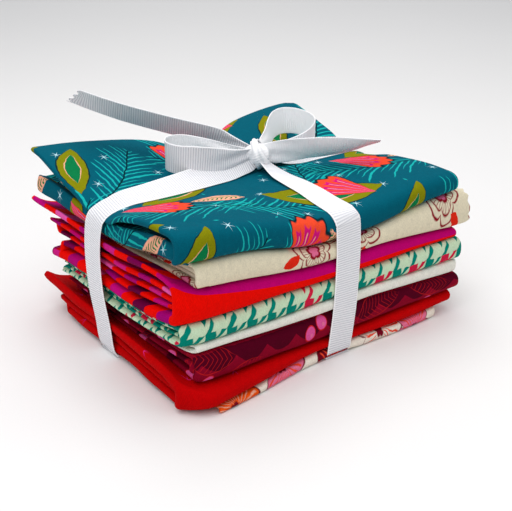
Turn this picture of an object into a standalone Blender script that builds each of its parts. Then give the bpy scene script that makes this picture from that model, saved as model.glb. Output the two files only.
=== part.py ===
"""Eight folded cottons tied with a grosgrain ribbon and a bow.

Every cloth is one sheet that runs back and forth: its legs lie one over the other, and turns at the front and
back edges join them. The longest leg pair wraps the others at the front, so the front shows one fold a cloth and
the left end shows the edges of its legs. Tables are in millimetres, measured from the near left corner of the
bundle: x runs right along the front, y runs back and z runs up.
"""

import math
from collections import namedtuple

import bpy

MM = 0.001

# Bundle
LENGTH = 176.0
DEPTH = 138.0
CENTRE_X = 94.5
CENTRE_Y = 75.06

# Ribbon: 16 mm grosgrain, one turn each way, crossing at the knot
RIBBON_WIDTH = 16.0
RIBBON_THICK = 1.0
CROSS_X = 98.0
LONG_Y = 78.0
BAND_HALF = 9.0
SEAT = 0.4
BAND_BACK = 139.0
BAND_LEFT = 1.2
BAND_RIGHT = 177.0

# Gaps between cloths and between the legs of one cloth, and how much a loose leg may swell
LAYER_GAP = 0.5
LEG_GAP = 0.35
MOST_FLUFF = 1.5

# Smallest cells left beside the ends of a leg
COLUMN_MARGIN = 0.9
ROW_MARGIN = 1.5

# Lines where the height tables are worked out, shared by all the cloths so that neighbours never cross
X_LINES = (-5.0, 5.0, 14.0, 52.0, CROSS_X - BAND_HALF, CROSS_X + BAND_HALF, 140.0, 200.0)
Y_LINES = (-12.0, 18.0, 42.0, LONG_Y - BAND_HALF, LONG_Y + BAND_HALF, 112.0, 136.0, 165.0)

# How far the ribbon's pull and the lifted edges reach into the bundle
PULL_SPREAD_X = 28.0
PULL_SPREAD_Y = 24.0
END_PULL_SPREAD = 8.0
BACK_PULL_SPREAD = 14.0
LIFT_REACH = 8.0
LIFT_LOSS = 0.5
FLARE_REACH = 8.0
FLARE_START = 12.0
CORNER_REACH = 14.0

Face = namedtuple("Face", "front_left front_mid front_right mid_left mid mid_right back_left back_mid back_right "
                          "lift flare")

# Height of each face between two cloths, from the lowest to the top. The mid columns are under the ribbon.
# lift raises the face at the front fold, flare raises it at the left end.
FACES = (
    Face(3.4, 6.0, 6.5, 4.6, 6.0, 6.5, 4.8, 6.0, 6.5, 0.0, -3.0),
    Face(13.5, 11.8, 14.5, 13.0, 12.5, 13.5, 15.5, 14.0, 14.0, 0.0, 8.0),
    Face(29.5, 26.5, 24.3, 26.0, 26.0, 25.0, 25.5, 26.0, 26.0, 3.0, 0.0),
    Face(33.0, 32.3, 31.5, 30.5, 31.0, 31.0, 28.0, 31.0, 31.5, 4.0, 0.0),
    Face(44.0, 43.5, 45.0, 38.5, 41.5, 43.0, 34.5, 41.0, 43.5, 5.5, 0.0),
    Face(63.6, 55.3, 52.5, 58.5, 56.0, 55.0, 59.5, 57.0, 57.0, 0.0, 7.5),
    Face(77.0, 65.0, 74.5, 67.5, 66.0, 68.0, 69.0, 69.0, 71.0, 0.0, 0.0),
    Face(93.0, 80.0, 86.0, 83.5, 82.5, 82.5, 97.0, 87.5, 95.0, 0.0, 0.0),
)

Leg = namedtuple("Leg", "left right back thick loose", defaults=(1.0,))
Cloth = namedtuple("Cloth", "name colour front_left front_mid front_right nose corner legs")

# Cloths from the bottom to the top, each with its legs from the top one to the lowest.
# left, right and back are where the leg ends, thick is its thickness at rest and loose its share of the air below it.
# front_* is how far the front fold reaches, nose the fold's depth and corner how far the left corner draws back.
CLOTHS = (
    Cloth("cloth_floral", (0.85, 0.45, 0.40), -5.5, 0.9, 1.5, 3.4, 0.0, (
        Leg(15.0, 170.0, 132.0, 2.2),
        Leg(17.0, 168.0, 129.0, 2.2))),
    Cloth("cloth_red", (0.60, 0.01, 0.01), -6.0, 0.9, 0.5, 6.4, 11.0, (
        Leg(-1.0, 179.5, 148.0, 2.6),
        Leg(0.5, 177.0, 137.0, 1.8),
        Leg(1.5, 176.0, 131.0, 1.7),
        Leg(2.0, 178.0, 126.0, 2.2))),
    Cloth("cloth_burgundy", (0.07, 0.0, 0.01), -1.5, 0.9, -1.0, 6.6, 4.0, (
        Leg(7.0, 181.8, 133.0, 3.0),
        Leg(5.5, 178.0, 128.0, 2.6),
        Leg(9.0, 180.0, 130.0, 2.6),
        Leg(7.5, 184.5, 126.0, 3.0))),
    Cloth("cloth_white", (0.80, 0.78, 0.70), 0.5, 0.9, 0.0, 2.6, 2.0, (
        Leg(7.0, 183.5, 136.0, 2.3),
        Leg(6.0, 182.0, 133.0, 2.3))),
    Cloth("cloth_mint", (0.30, 0.60, 0.45), 0.0, 0.9, -1.5, 5.6, 4.0, (
        Leg(1.5, 183.5, 125.0, 2.2),
        Leg(3.5, 180.0, 121.0, 2.2),
        Leg(3.0, 181.0, 127.0, 2.2),
        Leg(0.5, 184.5, 129.0, 3.0))),
    Cloth("cloth_stripe", (0.65, 0.02, 0.10), -0.5, 0.9, 0.5, 7.2, 5.0, (
        Leg(-1.0, 180.5, 154.0, 2.4),
        Leg(1.0, 178.0, 140.0, 1.8),
        Leg(2.5, 177.0, 132.0, 1.6),
        Leg(2.0, 178.5, 127.0, 1.6),
        Leg(-0.5, 181.0, 138.0, 3.4))),
    Cloth("cloth_cream", (0.70, 0.62, 0.47), -0.5, 0.9, -1.0, 5.4, 1.5, (
        Leg(8.0, 185.0, 137.0, 2.6),
        Leg(10.0, 188.0, 131.0, 2.4),
        Leg(11.0, 187.0, 134.0, 2.4),
        Leg(9.0, 190.5, 130.0, 2.8))),
    Cloth("cloth_teal", (0.0, 0.10, 0.16), -2.0, 0.9, -1.0, 8.6, 5.0, (
        Leg(-1.5, 180.0, 149.0, 3.6, 4.0),
        Leg(1.0, 176.0, 146.0, 2.6),
        Leg(2.0, 175.0, 143.0, 2.6),
        Leg(-1.0, 178.0, 150.0, 3.2))),
)

FRONT_TURN_STEPS = 4
INNER_TURN_STEPS = 3
BACK_TURN_STEPS = 2
BACK_NOSE = 2.6


def bell(distance, spread):
    """1 under the ribbon, falling away on both sides of it."""
    outside = max(0.0, abs(distance) - BAND_HALF)
    return math.exp(-0.5 * (outside / spread) ** 2)


def shares(position, full, ribbon, spread):
    """How much of the near, middle and far column a place takes."""
    mid = bell(position - ribbon, spread)
    far = min(1.0, max(0.0, position / full)) * (1.0 - mid)
    return 1.0 - mid - far, mid, far


def trough(x, y):
    """Height of the hollow that the ribbon presses into the underside."""
    across = 1.0 if abs(x - CROSS_X) <= BAND_HALF + 0.1 else 0.0
    along = 1.0 if abs(y - LONG_Y) <= BAND_HALF + 0.1 else 0.0
    return (RIBBON_THICK + SEAT) * (across + along)


def smooth_height(index, x, y):
    """Height of face number index at a grid point; face 0 is the underside."""
    if index == 0:
        return trough(x, y)
    face = FACES[index - 1]
    near, mid, far = shares(x, LENGTH, CROSS_X, PULL_SPREAD_X)
    front, middle, back = shares(y, DEPTH, LONG_Y, PULL_SPREAD_Y)
    rows = ((front, face.front_left, face.front_mid, face.front_right),
            (middle, face.mid_left, face.mid, face.mid_right),
            (back, face.back_left, face.back_mid, face.back_right))
    height = sum(row * (near * left + mid * centre + far * right) for row, left, centre, right in rows)
    inside = 1.0 - math.exp(-max(0.0, y) / FLARE_START)
    height += face.lift * (1.0 - LIFT_LOSS * max(0.0, x) / LENGTH) * math.exp(-max(0.0, y) / LIFT_REACH)
    height += face.flare * math.exp(-max(0.0, x) / FLARE_REACH) * inside
    return height


GRID = [[[smooth_height(index, x, y) for y in Y_LINES] for x in X_LINES] for index in range(len(FACES) + 1)]


def cell_of(lines, value):
    """Number of the grid cell that holds a value, and how far along it lies."""
    last = len(lines) - 2
    number = sum(1 for line in lines[1:-1] if value >= line)
    number = min(number, last)
    along = (value - lines[number]) / (lines[number + 1] - lines[number])
    return number, along


def height(index, x, y):
    """Height of a face anywhere, flat over each grid triangle."""
    i, u = cell_of(X_LINES, x)
    j, v = cell_of(Y_LINES, y)
    grid = GRID[index]
    low, high = grid[i][j], grid[i + 1][j + 1]
    if u >= v:
        return low + u * (grid[i + 1][j] - low) + v * (high - grid[i + 1][j])
    return low + v * (grid[i][j + 1] - low) + u * (high - grid[i][j + 1])


def levels(number, x, y):
    """Bottom and top of each leg of cloth number at one place, from the top leg to the lowest."""
    legs = CLOTHS[number].legs
    low = height(number, x, y) + (LAYER_GAP / 2 if number else 0.0)
    high = height(number + 1, x, y) - LAYER_GAP / 2
    total = sum(leg.thick for leg in legs)
    count = len(legs) - 1
    scale = min(MOST_FLUFF, (high - low - count * LEG_GAP) / total)
    air = high - low - scale * total - count * LEG_GAP
    loose = sum(leg.loose for leg in legs[:-1])
    out = []
    top = high
    for leg in legs:
        bottom = top - scale * leg.thick
        out.append((bottom, top))
        top = bottom - LEG_GAP - air * leg.loose / loose
    return out


def fold_order(count):
    """Order in which the sheet runs through its legs, 0 being the top one, so that inner folds nest in outer ones."""
    order = []
    high, low = 0, count - 1
    downward = True
    while high <= low:
        pair = (high, low) if downward else (low, high)
        order.extend(pair if high < low else pair[:1])
        high, low, downward = high + 1, low - 1, not downward
    return order


def front_edge(cloth, x):
    """How far forward the front fold of a cloth reaches."""
    near, mid, far = shares(x, LENGTH, CROSS_X, PULL_SPREAD_X)
    corner = max(0.0, 1.0 - max(0.0, x) / CORNER_REACH)
    return near * cloth.front_left + mid * cloth.front_mid + far * cloth.front_right + cloth.corner * corner ** 2


def pulled(end, y, limit):
    """An end of a leg, drawn in to the ribbon's line where the ribbon passes."""
    return end + (limit - end) * bell(y - LONG_Y, END_PULL_SPREAD)


def leg_left(leg, y):
    return max(leg.left, pulled(leg.left, y, BAND_LEFT + SEAT))


def leg_right(leg, y):
    return min(leg.right, pulled(leg.right, y, BAND_RIGHT - SEAT))


def turned_at_back(cloth, leg_number):
    """Whether the sheet turns into another leg at this leg's back end."""
    place = fold_order(len(cloth.legs)).index(leg_number)
    return 0 < place and (place % 2 == 0 or place + 1 < len(cloth.legs))


def leg_end(cloth, leg_number, x):
    """Where a leg's flat run ends at the back; its turn, where it has one, reaches back from there."""
    reach = cloth.legs[leg_number].back
    drawn = reach + (BAND_BACK - SEAT - reach) * bell(x - CROSS_X, BACK_PULL_SPREAD)
    return min(reach, drawn) - (BACK_NOSE if turned_at_back(cloth, leg_number) else 0.0)


def inner_lines(cloth):
    """Grid lines across the cloth that lie inside every one of its legs."""
    low = max(leg.left for leg in cloth.legs) + COLUMN_MARGIN
    high = min(leg.right for leg in cloth.legs) - COLUMN_MARGIN
    return [line for line in X_LINES if low < line < high]


def columns(cloth, left, right):
    return [left] + inner_lines(cloth) + [right]


Station = namedtuple("Station", "first second")


def leg_stations(number, leg_number, forward):
    """Points of one leg, from its start to its end: its first side is on top where the sheet runs forward."""
    cloth = CLOTHS[number]
    leg = cloth.legs[leg_number]
    start = max(front_edge(cloth, x) for x in columns(cloth, leg.left, leg.right)) + cloth.nose
    end = min(leg_end(cloth, leg_number, x) for x in columns(cloth, leg.left, leg.right))
    rows = [None] + [line for line in Y_LINES if start + ROW_MARGIN < line < end - ROW_MARGIN] + ["end"]
    stations = []
    for row in rows:
        middle = start if row is None else end if row == "end" else row
        xs = columns(cloth, leg_left(leg, middle), leg_right(leg, middle))
        first, second = [], []
        for x in xs:
            y = middle
            if row is None:
                y = front_edge(cloth, x) + cloth.nose
            elif row == "end":
                y = leg_end(cloth, leg_number, x)
            bottom, top = levels(number, x, y)[leg_number]
            first.append((x, y, top))
            second.append((x, y, bottom))
        stations.append(Station(first, second))
    if forward:
        stations.reverse()
        return stations
    return [Station(station.second, station.first) for station in stations]


def turn_stations(number, upper, lower, at_front, rank, downward):
    """Points of the turn that joins two legs, left out at the legs themselves."""
    cloth = CLOTHS[number]
    steps = BACK_TURN_STEPS
    if at_front:
        steps = FRONT_TURN_STEPS if rank == 0 else INNER_TURN_STEPS
    out = []
    for step in range(1, steps):
        angle = math.pi * step / steps
        part = step / steps
        outer_side, inner_side = [], []
        legs = cloth.legs[upper], cloth.legs[lower]
        left = (1 - part) * legs[0].left + part * legs[1].left
        right = (1 - part) * legs[0].right + part * legs[1].right
        for x in columns(cloth, left, right):
            if at_front:
                y = front_edge(cloth, x) + cloth.nose
                depth = cloth.nose - rank * (legs[0].thick + LEG_GAP)
                sign = -1.0
            else:
                y = min(leg_end(cloth, leg, x) for leg in (upper, lower))
                depth = BACK_NOSE
                sign = 1.0
            stack = levels(number, x, y)
            top, bottom = stack[upper][1], stack[lower][0]
            inner_top, inner_bottom = stack[upper][0], stack[lower][1]
            inner_depth = depth - 0.5 * (top - inner_top + inner_bottom - bottom)
            middle, half = (top + bottom) / 2, (top - bottom) / 2
            inner_middle, inner_half = (inner_top + inner_bottom) / 2, (inner_top - inner_bottom) / 2
            outer_side.append((x, y + sign * depth * math.sin(angle), middle + half * math.cos(angle)))
            inner_side.append((x, y + sign * inner_depth * math.sin(angle),
                               inner_middle + inner_half * math.cos(angle)))
        out.append(Station(outer_side, inner_side))
    if downward == at_front:
        return out if downward else out[::-1]
    flipped = [Station(station.second, station.first) for station in out]
    return flipped if downward else flipped[::-1]


def sheet_stations(number):
    """The whole run of one cloth from its free top end to its other end."""
    order = fold_order(len(CLOTHS[number].legs))
    stations = []
    rank = 0
    for place, leg_number in enumerate(order):
        forward = place % 2 == 0
        stations.extend(leg_stations(number, leg_number, forward))
        if place + 1 < len(order):
            following = order[place + 1]
            upper, lower = min(leg_number, following), max(leg_number, following)
            stations.extend(turn_stations(number, upper, lower, forward, rank if forward else 0,
                                          following > leg_number))
            rank += 1 if forward else 0
    return stations


def closed_strip(stations):
    """Vertices and triangles of a sheet that runs through stations and is closed at both ends and edges."""
    width = len(stations[0].first)
    vertices, faces = [], []
    for station in stations:
        vertices.extend(station.first)
        vertices.extend(station.second)
    stride = 2 * width

    def first(row, column):
        return row * stride + column

    def second(row, column):
        return row * stride + width + column

    def quad(a, b, c, d, backward=False):
        if backward:
            faces.extend(((a, b, d), (b, c, d)))
        else:
            faces.extend(((a, b, c), (a, c, d)))

    for row in range(len(stations) - 1):
        y_step = stations[row + 1].first[0][1] - stations[row].first[0][1]
        for column in range(width - 1):
            a, b = first(row, column), first(row, column + 1)
            c, d = first(row + 1, column + 1), first(row + 1, column)
            quad(a, d, c, b, backward=y_step < 0)
            a, b = second(row, column), second(row, column + 1)
            c, d = second(row + 1, column + 1), second(row + 1, column)
            quad(a, b, c, d, backward=y_step < 0)
        edge = width - 1
        quad(first(row, 0), second(row, 0), second(row + 1, 0), first(row + 1, 0))
        quad(first(row, edge), first(row + 1, edge), second(row + 1, edge), second(row, edge))
    last = len(stations) - 1
    for column in range(width - 1):
        quad(first(0, column), first(0, column + 1), second(0, column + 1), second(0, column))
        quad(first(last, column), second(last, column), second(last, column + 1), first(last, column + 1))
    return vertices, faces


def cloth_material(name, colour, roughness=0.9):
    material = bpy.data.materials.new(name)
    material.use_nodes = True
    shader = material.node_tree.nodes["Principled BSDF"]
    shader.inputs["Base Color"].default_value = (*colour, 1.0)
    shader.inputs["Roughness"].default_value = roughness
    shader.inputs["Metallic"].default_value = 0.0
    material.diffuse_color = (*colour, 1.0)
    return material


def signed_volume(vertices, faces):
    total = 0.0
    for a, b, c in faces:
        (ax, ay, az), (bx, by, bz), (cx, cy, cz) = vertices[a], vertices[b], vertices[c]
        total += ax * (by * cz - bz * cy) - ay * (bx * cz - bz * cx) + az * (bx * cy - by * cx)
    return total / 6.0


def add_object(name, vertices, faces, material):
    """A named object in metres, centred on the bundle, with its faces pointing out."""
    if signed_volume(vertices, faces) < 0:
        faces = [face[::-1] for face in faces]
    mesh = bpy.data.meshes.new(name)
    mesh.from_pydata([((x - CENTRE_X) * MM, (y - CENTRE_Y) * MM, z * MM) for x, y, z in vertices], [], faces)
    mesh.materials.append(material)
    mesh.shade_smooth()
    mesh.set_sharp_from_angle(angle=math.radians(40))
    thing = bpy.data.objects.new(name, mesh)
    bpy.context.scene.collection.objects.link(thing)
    return thing


def build_cloths():
    for number, cloth in enumerate(CLOTHS):
        vertices, faces = closed_strip(sheet_stations(number))
        add_object(cloth.name, vertices, faces, cloth_material(cloth.name, cloth.colour))


def ring_section(corners, closed):
    """Vertices and triangles of a tube whose stations each hold the same number of corners."""
    sides = len(corners[0])
    vertices = [corner for station in corners for corner in station]
    faces = []
    spans = len(corners) if closed else len(corners) - 1
    for row in range(spans):
        here, there = row * sides, (row + 1) % len(corners) * sides
        for side in range(sides):
            following = (side + 1) % sides
            a, b, c, d = here + side, here + following, there + following, there + side
            faces.extend(((a, b, c), (a, c, d)))
    if not closed:
        last = (len(corners) - 1) * sides
        for side in range(1, sides - 1):
            faces.append((0, side + 1, side))
            faces.append((last, last + side, last + side + 1))
    return vertices, faces


def mitre(points, distance):
    """A closed outline moved outwards by a distance; its points run with the inside on their right."""
    out = []
    count = len(points)
    for number, (px, pz) in enumerate(points):
        ax, az = points[number - 1]
        bx, bz = points[(number + 1) % count]
        before = math.hypot(px - ax, pz - az)
        after = math.hypot(bx - px, bz - pz)
        n1 = (-(pz - az) / before, (px - ax) / before)
        n2 = (-(bz - pz) / after, (bx - px) / after)
        mx, mz = n1[0] + n2[0], n1[1] + n2[1]
        size = (mx * mx + mz * mz) / 2.0
        out.append((px + distance * mx / size, pz + distance * mz / size))
    return out


def band_solid(inner, place):
    """A flat ribbon round an outline; place turns an outline point and an across distance into a point in space."""
    outer = mitre(inner, RIBBON_THICK)
    half = RIBBON_WIDTH / 2
    corners = []
    for near, far in zip(inner, outer):
        corners.append([place(*near, -half), place(*near, half), place(*far, half), place(*far, -half)])
    return ring_section(corners, closed=True)


def top_of_bundle(x, y):
    return height(len(CLOTHS), x, y) - LAYER_GAP / 2


def cross_outline():
    """Inner outline of the front-to-back turn, as y and z, from the front foot up, over the top and round."""
    teal = CLOTHS[-1]
    edge = front_edge(teal, CROSS_X)
    centre_y = edge + teal.nose
    stack = levels(len(CLOTHS) - 1, CROSS_X, centre_y)
    top, bottom = stack[0][1], stack[-1][0]
    middle, half = (top + bottom) / 2, (top - bottom) / 2 + SEAT
    depth = teal.nose + SEAT
    front = edge - SEAT
    points = [(front + 2.0, RIBBON_THICK), (front + 0.4, 2.4), (front, 5.0)]
    for step in range(FRONT_TURN_STEPS + 1):
        angle = math.pi / 2 * (1 - step / FRONT_TURN_STEPS)
        points.append((centre_y - depth * math.sin(angle), middle + half * math.cos(angle)))
    rows = [line for line in Y_LINES if centre_y + 2.0 < line < BAND_BACK - 2.0]
    points.extend((y, top_of_bundle(CROSS_X, y) + SEAT) for y in rows)
    shoulder = top_of_bundle(CROSS_X, BAND_BACK) + SEAT
    points.extend(((BAND_BACK - SEAT, shoulder), (BAND_BACK, shoulder - SEAT), (BAND_BACK, 8.0)))
    points.append((BAND_BACK - 5.0, RIBBON_THICK))
    return points


STEP_RUN = 8.0


def over_crossing(x, lift):
    """How far the lengthwise turn is lifted where it passes the crosswise one."""
    outside = max(0.0, abs(x - CROSS_X) - RIBBON_WIDTH / 2 - 1.5)
    return lift * max(0.0, 1.0 - outside / STEP_RUN)


def long_outline():
    """Inner outline of the left-to-right turn, as x and z, from the left foot up, over the top and round."""
    lift = RIBBON_THICK + 0.3
    reach = RIBBON_WIDTH / 2 + 1.5
    places = sorted([line for line in X_LINES if BAND_LEFT + 2.0 < line < BAND_RIGHT - 2.0]
                    + [CROSS_X - reach - STEP_RUN, CROSS_X + reach + STEP_RUN])
    top_left = top_of_bundle(BAND_LEFT, LONG_Y) + SEAT
    top_right = top_of_bundle(BAND_RIGHT, LONG_Y) + SEAT
    points = [(BAND_LEFT + 2.8, RIBBON_THICK), (BAND_LEFT + 0.8, 1.3), (BAND_LEFT, 2.9)]
    points.extend(((BAND_LEFT, top_left - SEAT), (BAND_LEFT + SEAT, top_left)))
    points.extend((x, top_of_bundle(x, LONG_Y) + SEAT + over_crossing(x, lift)) for x in places)
    points.extend(((BAND_RIGHT - SEAT, top_right), (BAND_RIGHT, top_right - SEAT), (BAND_RIGHT, 6.0)))
    points.append((BAND_RIGHT - 7.0, RIBBON_THICK))
    under = (reach + STEP_RUN, reach, -reach, -reach - STEP_RUN)
    points.extend((CROSS_X + run, RIBBON_THICK + over_crossing(CROSS_X + run, lift)) for run in under)
    return points


KNOT_X, KNOT_Y, KNOT_Z = 100.0, 78.0, 90.5
KNOT_RADII = (8.0, 7.0, 5.0)
KNOT_ROWS = 8
KNOT_SIDES = 14
KNOT_LUMP = 0.04
KNOT_SEAT = 0.55


def knot_lump(round_angle, polar):
    return 1.0 - KNOT_LUMP * (1 + math.cos(3 * round_angle + 2 * polar)) * math.sin(polar)


Rib = namedtuple("Rib", "x y z lean width")


def at_knot(direction, lean, width):
    """The end of a bow part, on the side of the knot that faces a direction."""
    angle = math.radians(direction)
    reach = 1.0 / math.hypot(math.cos(angle) / KNOT_RADII[0], math.sin(angle) / KNOT_RADII[1])
    reach = reach * knot_lump(angle, math.pi / 2) + KNOT_SEAT
    return Rib(KNOT_X + reach * math.cos(angle), KNOT_Y + reach * math.sin(angle), KNOT_Z, lean, width)


# Middle line of each part of the bow, from the knot out. lean turns the ribbon about its own line:
# 0 lies flat, 90 stands on its edge. width is the ribbon's width there, drawn together at the knot.
BOW = {
    "ribbon_loop_left": (
        at_knot(190.0, 90, 7.5), Rib(83.0, 75.4, 91.6, 90, 10.0), Rib(73.0, 76.0, 92.6, 90, 13.5),
        Rib(62.0, 79.5, 93.6, 90, 16.0), Rib(54.0, 86.0, 94.2, 90, 16.0), Rib(52.2, 94.0, 94.6, 90, 16.0),
        Rib(57.5, 100.5, 94.8, 90, 16.0), Rib(67.0, 100.5, 94.4, 90, 15.5), Rib(77.5, 93.5, 93.2, 90, 13.0),
        Rib(86.5, 86.2, 91.8, 90, 10.0), at_knot(152.0, 90, 7.5)),
    "ribbon_loop_right": (
        at_knot(42.0, 90, 7.5), Rib(114.0, 91.0, 91.6, 90, 11.0), Rib(124.5, 102.0, 93.0, 90, 14.5),
        Rib(135.5, 110.5, 94.4, 90, 16.0), Rib(147.0, 113.5, 95.0, 90, 16.0), Rib(154.5, 107.0, 95.0, 90, 16.0),
        Rib(155.5, 96.0, 94.8, 90, 16.0), Rib(148.0, 86.5, 94.2, 90, 16.0), Rib(134.5, 81.0, 93.0, 90, 14.0),
        Rib(120.0, 79.2, 91.6, 90, 10.5), at_knot(8.0, 90, 7.5)),
    "ribbon_tail_left": (
        at_knot(108.0, 84, 7.5), Rib(91.5, 91.8, 95.4, 66, 11.0), Rib(82.0, 97.8, 99.6, 57, 15.0),
        Rib(66.0, 109.5, 105.6, 54, 16.0), Rib(46.0, 130.0, 113.4, 53, 16.0), Rib(28.5, 151.0, 120.0, 52, 16.0)),
    "ribbon_tail_right": (
        at_knot(326.0, 96, 7.5), Rib(113.6, 67.8, 93.0, 112, 11.5), Rib(121.5, 61.5, 94.8, 121, 16.0),
        Rib(133.0, 55.0, 95.2, 125, 16.0), Rib(145.0, 50.0, 94.8, 132, 15.0), Rib(153.0, 46.5, 95.4, 138, 9.0),
        Rib(160.0, 43.5, 95.8, 140, 2.5)),
}
BOW_STEPS = 3


def between(p0, p1, p2, p3, t):
    """Smooth curve through four values, between the middle two."""
    return 0.5 * (2 * p1 + (p2 - p0) * t + (2 * p0 - 5 * p1 + 4 * p2 - p3) * t * t
                  + (3 * p1 - p0 - 3 * p2 + p3) * t ** 3)


def smooth_rows(rows, steps):
    out = []
    last = len(rows) - 1
    for number in range(last):
        around = [rows[min(max(number + k, 0), last)] for k in (-1, 0, 1, 2)]
        for step in range(steps):
            out.append([between(*values, step / steps) for values in zip(*around)])
    out.append(list(rows[-1]))
    return out


def bow_solid(rows, steps):
    """A ribbon of changing width along a curve in space, turned about its own line."""
    path = smooth_rows(rows, steps)
    corners = []
    last = len(path) - 1
    for number, (x, y, z, lean, width) in enumerate(path):
        before, after = path[max(number - 1, 0)], path[min(number + 1, last)]
        run = [after[k] - before[k] for k in range(3)]
        size = math.sqrt(sum(v * v for v in run))
        run = [v / size for v in run]
        flat = math.hypot(run[0], run[1])
        side = (-run[1] / flat, run[0] / flat, 0.0)
        up = (run[1] * side[2] - run[2] * side[1], run[2] * side[0] - run[0] * side[2],
              run[0] * side[1] - run[1] * side[0])
        turn = math.radians(lean)
        across = [side[k] * math.cos(turn) + up[k] * math.sin(turn) for k in range(3)]
        normal = [up[k] * math.cos(turn) - side[k] * math.sin(turn) for k in range(3)]
        corner = []
        for a, n in ((-1, -1), (1, -1), (1, 1), (-1, 1)):
            corner.append(tuple(centre + a * width / 2 * across[k] + n * RIBBON_THICK / 2 * normal[k]
                                for k, centre in enumerate((x, y, z))))
        corners.append(corner)
    return ring_section(corners, closed=False)


def knot_solid():
    """A flattened ball with soft lumps where the ribbon wraps over itself."""
    vertices = [(KNOT_X, KNOT_Y, KNOT_Z + KNOT_RADII[2])]
    for row in range(1, KNOT_ROWS):
        polar = math.pi * row / KNOT_ROWS
        for side in range(KNOT_SIDES):
            round_angle = 2 * math.pi * side / KNOT_SIDES
            lump = knot_lump(round_angle, polar)
            vertices.append((KNOT_X + KNOT_RADII[0] * lump * math.sin(polar) * math.cos(round_angle),
                             KNOT_Y + KNOT_RADII[1] * lump * math.sin(polar) * math.sin(round_angle),
                             KNOT_Z + KNOT_RADII[2] * math.cos(polar)))
    vertices.append((KNOT_X, KNOT_Y, KNOT_Z - KNOT_RADII[2]))
    faces = []
    bottom = len(vertices) - 1
    for side in range(KNOT_SIDES):
        following = (side + 1) % KNOT_SIDES
        faces.append((0, 1 + side, 1 + following))
        for row in range(KNOT_ROWS - 2):
            here, there = 1 + row * KNOT_SIDES, 1 + (row + 1) * KNOT_SIDES
            a, b, c, d = here + side, there + side, there + following, here + following
            faces.extend(((a, b, c), (a, c, d)))
        last = 1 + (KNOT_ROWS - 2) * KNOT_SIDES
        faces.append((last + side, bottom, last + following))
    return vertices, faces


RIBBON_COLOUR = (0.82, 0.84, 0.88)


def build_ribbon():
    material = cloth_material("ribbon", RIBBON_COLOUR, roughness=0.6)
    cross = band_solid(cross_outline(), lambda y, z, across: (CROSS_X + across, y, z))
    add_object("ribbon_cross", *cross, material)
    lengthwise = band_solid(long_outline(), lambda x, z, across: (x, LONG_Y + across, z))
    add_object("ribbon_long", *lengthwise, material)
    add_object("ribbon_knot", *knot_solid(), material)
    for name, rows in BOW.items():
        add_object(name, *bow_solid(rows, BOW_STEPS), material)


def clear_scene():
    for thing in list(bpy.data.objects):
        bpy.data.objects.remove(thing, do_unlink=True)


clear_scene()
build_cloths()
build_ribbon()
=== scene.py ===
# %% [markdown]
# # A tied bundle of folded cottons
#
# Eight cuts of printed cotton are folded, stacked and tied with white grosgrain ribbon. This lesson
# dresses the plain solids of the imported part: each cloth becomes one sheet that really folds back and
# forth, and each print is a procedural material that runs round the folds with the cloth.
#
# The frame gives the solids in metres. Every size below is in millimetres from the near left corner of
# the bundle, because that is how the folds were measured: x runs right along the front, y runs back and z
# runs up.

# %% Load the frame
import math
from collections import namedtuple

import bpy
import numpy as np
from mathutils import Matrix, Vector


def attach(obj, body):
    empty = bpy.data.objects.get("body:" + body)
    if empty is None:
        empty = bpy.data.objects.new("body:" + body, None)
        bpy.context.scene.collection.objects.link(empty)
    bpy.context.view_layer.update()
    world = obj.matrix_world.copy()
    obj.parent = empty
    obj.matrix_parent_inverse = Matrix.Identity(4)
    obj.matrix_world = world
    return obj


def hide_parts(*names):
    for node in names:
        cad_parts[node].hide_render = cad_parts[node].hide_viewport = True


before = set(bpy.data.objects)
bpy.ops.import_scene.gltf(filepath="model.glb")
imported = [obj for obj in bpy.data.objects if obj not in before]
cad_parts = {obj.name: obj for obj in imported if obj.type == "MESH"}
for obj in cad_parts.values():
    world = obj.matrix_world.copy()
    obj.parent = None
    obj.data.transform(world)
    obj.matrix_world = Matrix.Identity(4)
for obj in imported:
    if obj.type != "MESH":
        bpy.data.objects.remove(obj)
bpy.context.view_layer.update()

print("nodes in the frame:", len(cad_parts))

# %% [markdown]
# Folds were measured in millimetres from one corner, and the frame is in metres round the middle of the
# part. One helper turns the first into the second, so that no other line has to think about it.

# %% Units and the middle of the bundle
MM = 0.001
CENTRE_X, CENTRE_Y = 94.5, 75.06


def metres(x, y, z):
    """A place in the bundle's millimetres, as metres in the frame."""
    return ((x - CENTRE_X) * MM, (y - CENTRE_Y) * MM, z * MM)


print("near left corner in metres:", [round(v, 4) for v in metres(0, 0, 0)])

# %% [markdown]
# The camera stands in front of the near left corner and looks a little down. It could be set by eye, but
# its place was worked out from the bundle's corners and the slant of the ribbon instead, so that a fold
# falls on the same pixel of the render as of the photograph.

# %% Camera
CAMERA_PLACE = (-194.8, -315.3, 246.2)
CAMERA_YAW = 36.79
CAMERA_PITCH = 23.78
PIXELS_WIDE = 512
FOCAL_PIXELS = 930.0
SENSOR = 36.0

camera_data = bpy.data.cameras.new("camera")
camera_data.sensor_width = SENSOR
camera_data.lens = FOCAL_PIXELS / PIXELS_WIDE * SENSOR
camera = bpy.data.objects.new("camera", camera_data)
camera.location = metres(*CAMERA_PLACE)
camera.rotation_euler = (math.radians(90 - CAMERA_PITCH), 0.0, math.radians(-CAMERA_YAW))
bpy.context.scene.collection.objects.link(camera)
bpy.context.scene.camera = camera
print("lens in mm:", round(camera_data.lens, 1))

# %% [markdown]
# The bundle stands on a pale table in a bright room. One wide, soft lamp from above gives the gentle
# highlights on the folds, a second fills the left end, a weak one opens the shadow on the right, and one
# far back lights only the table behind. Square area lamps are used because the photograph's shadows have
# wide, soft edges.

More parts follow.
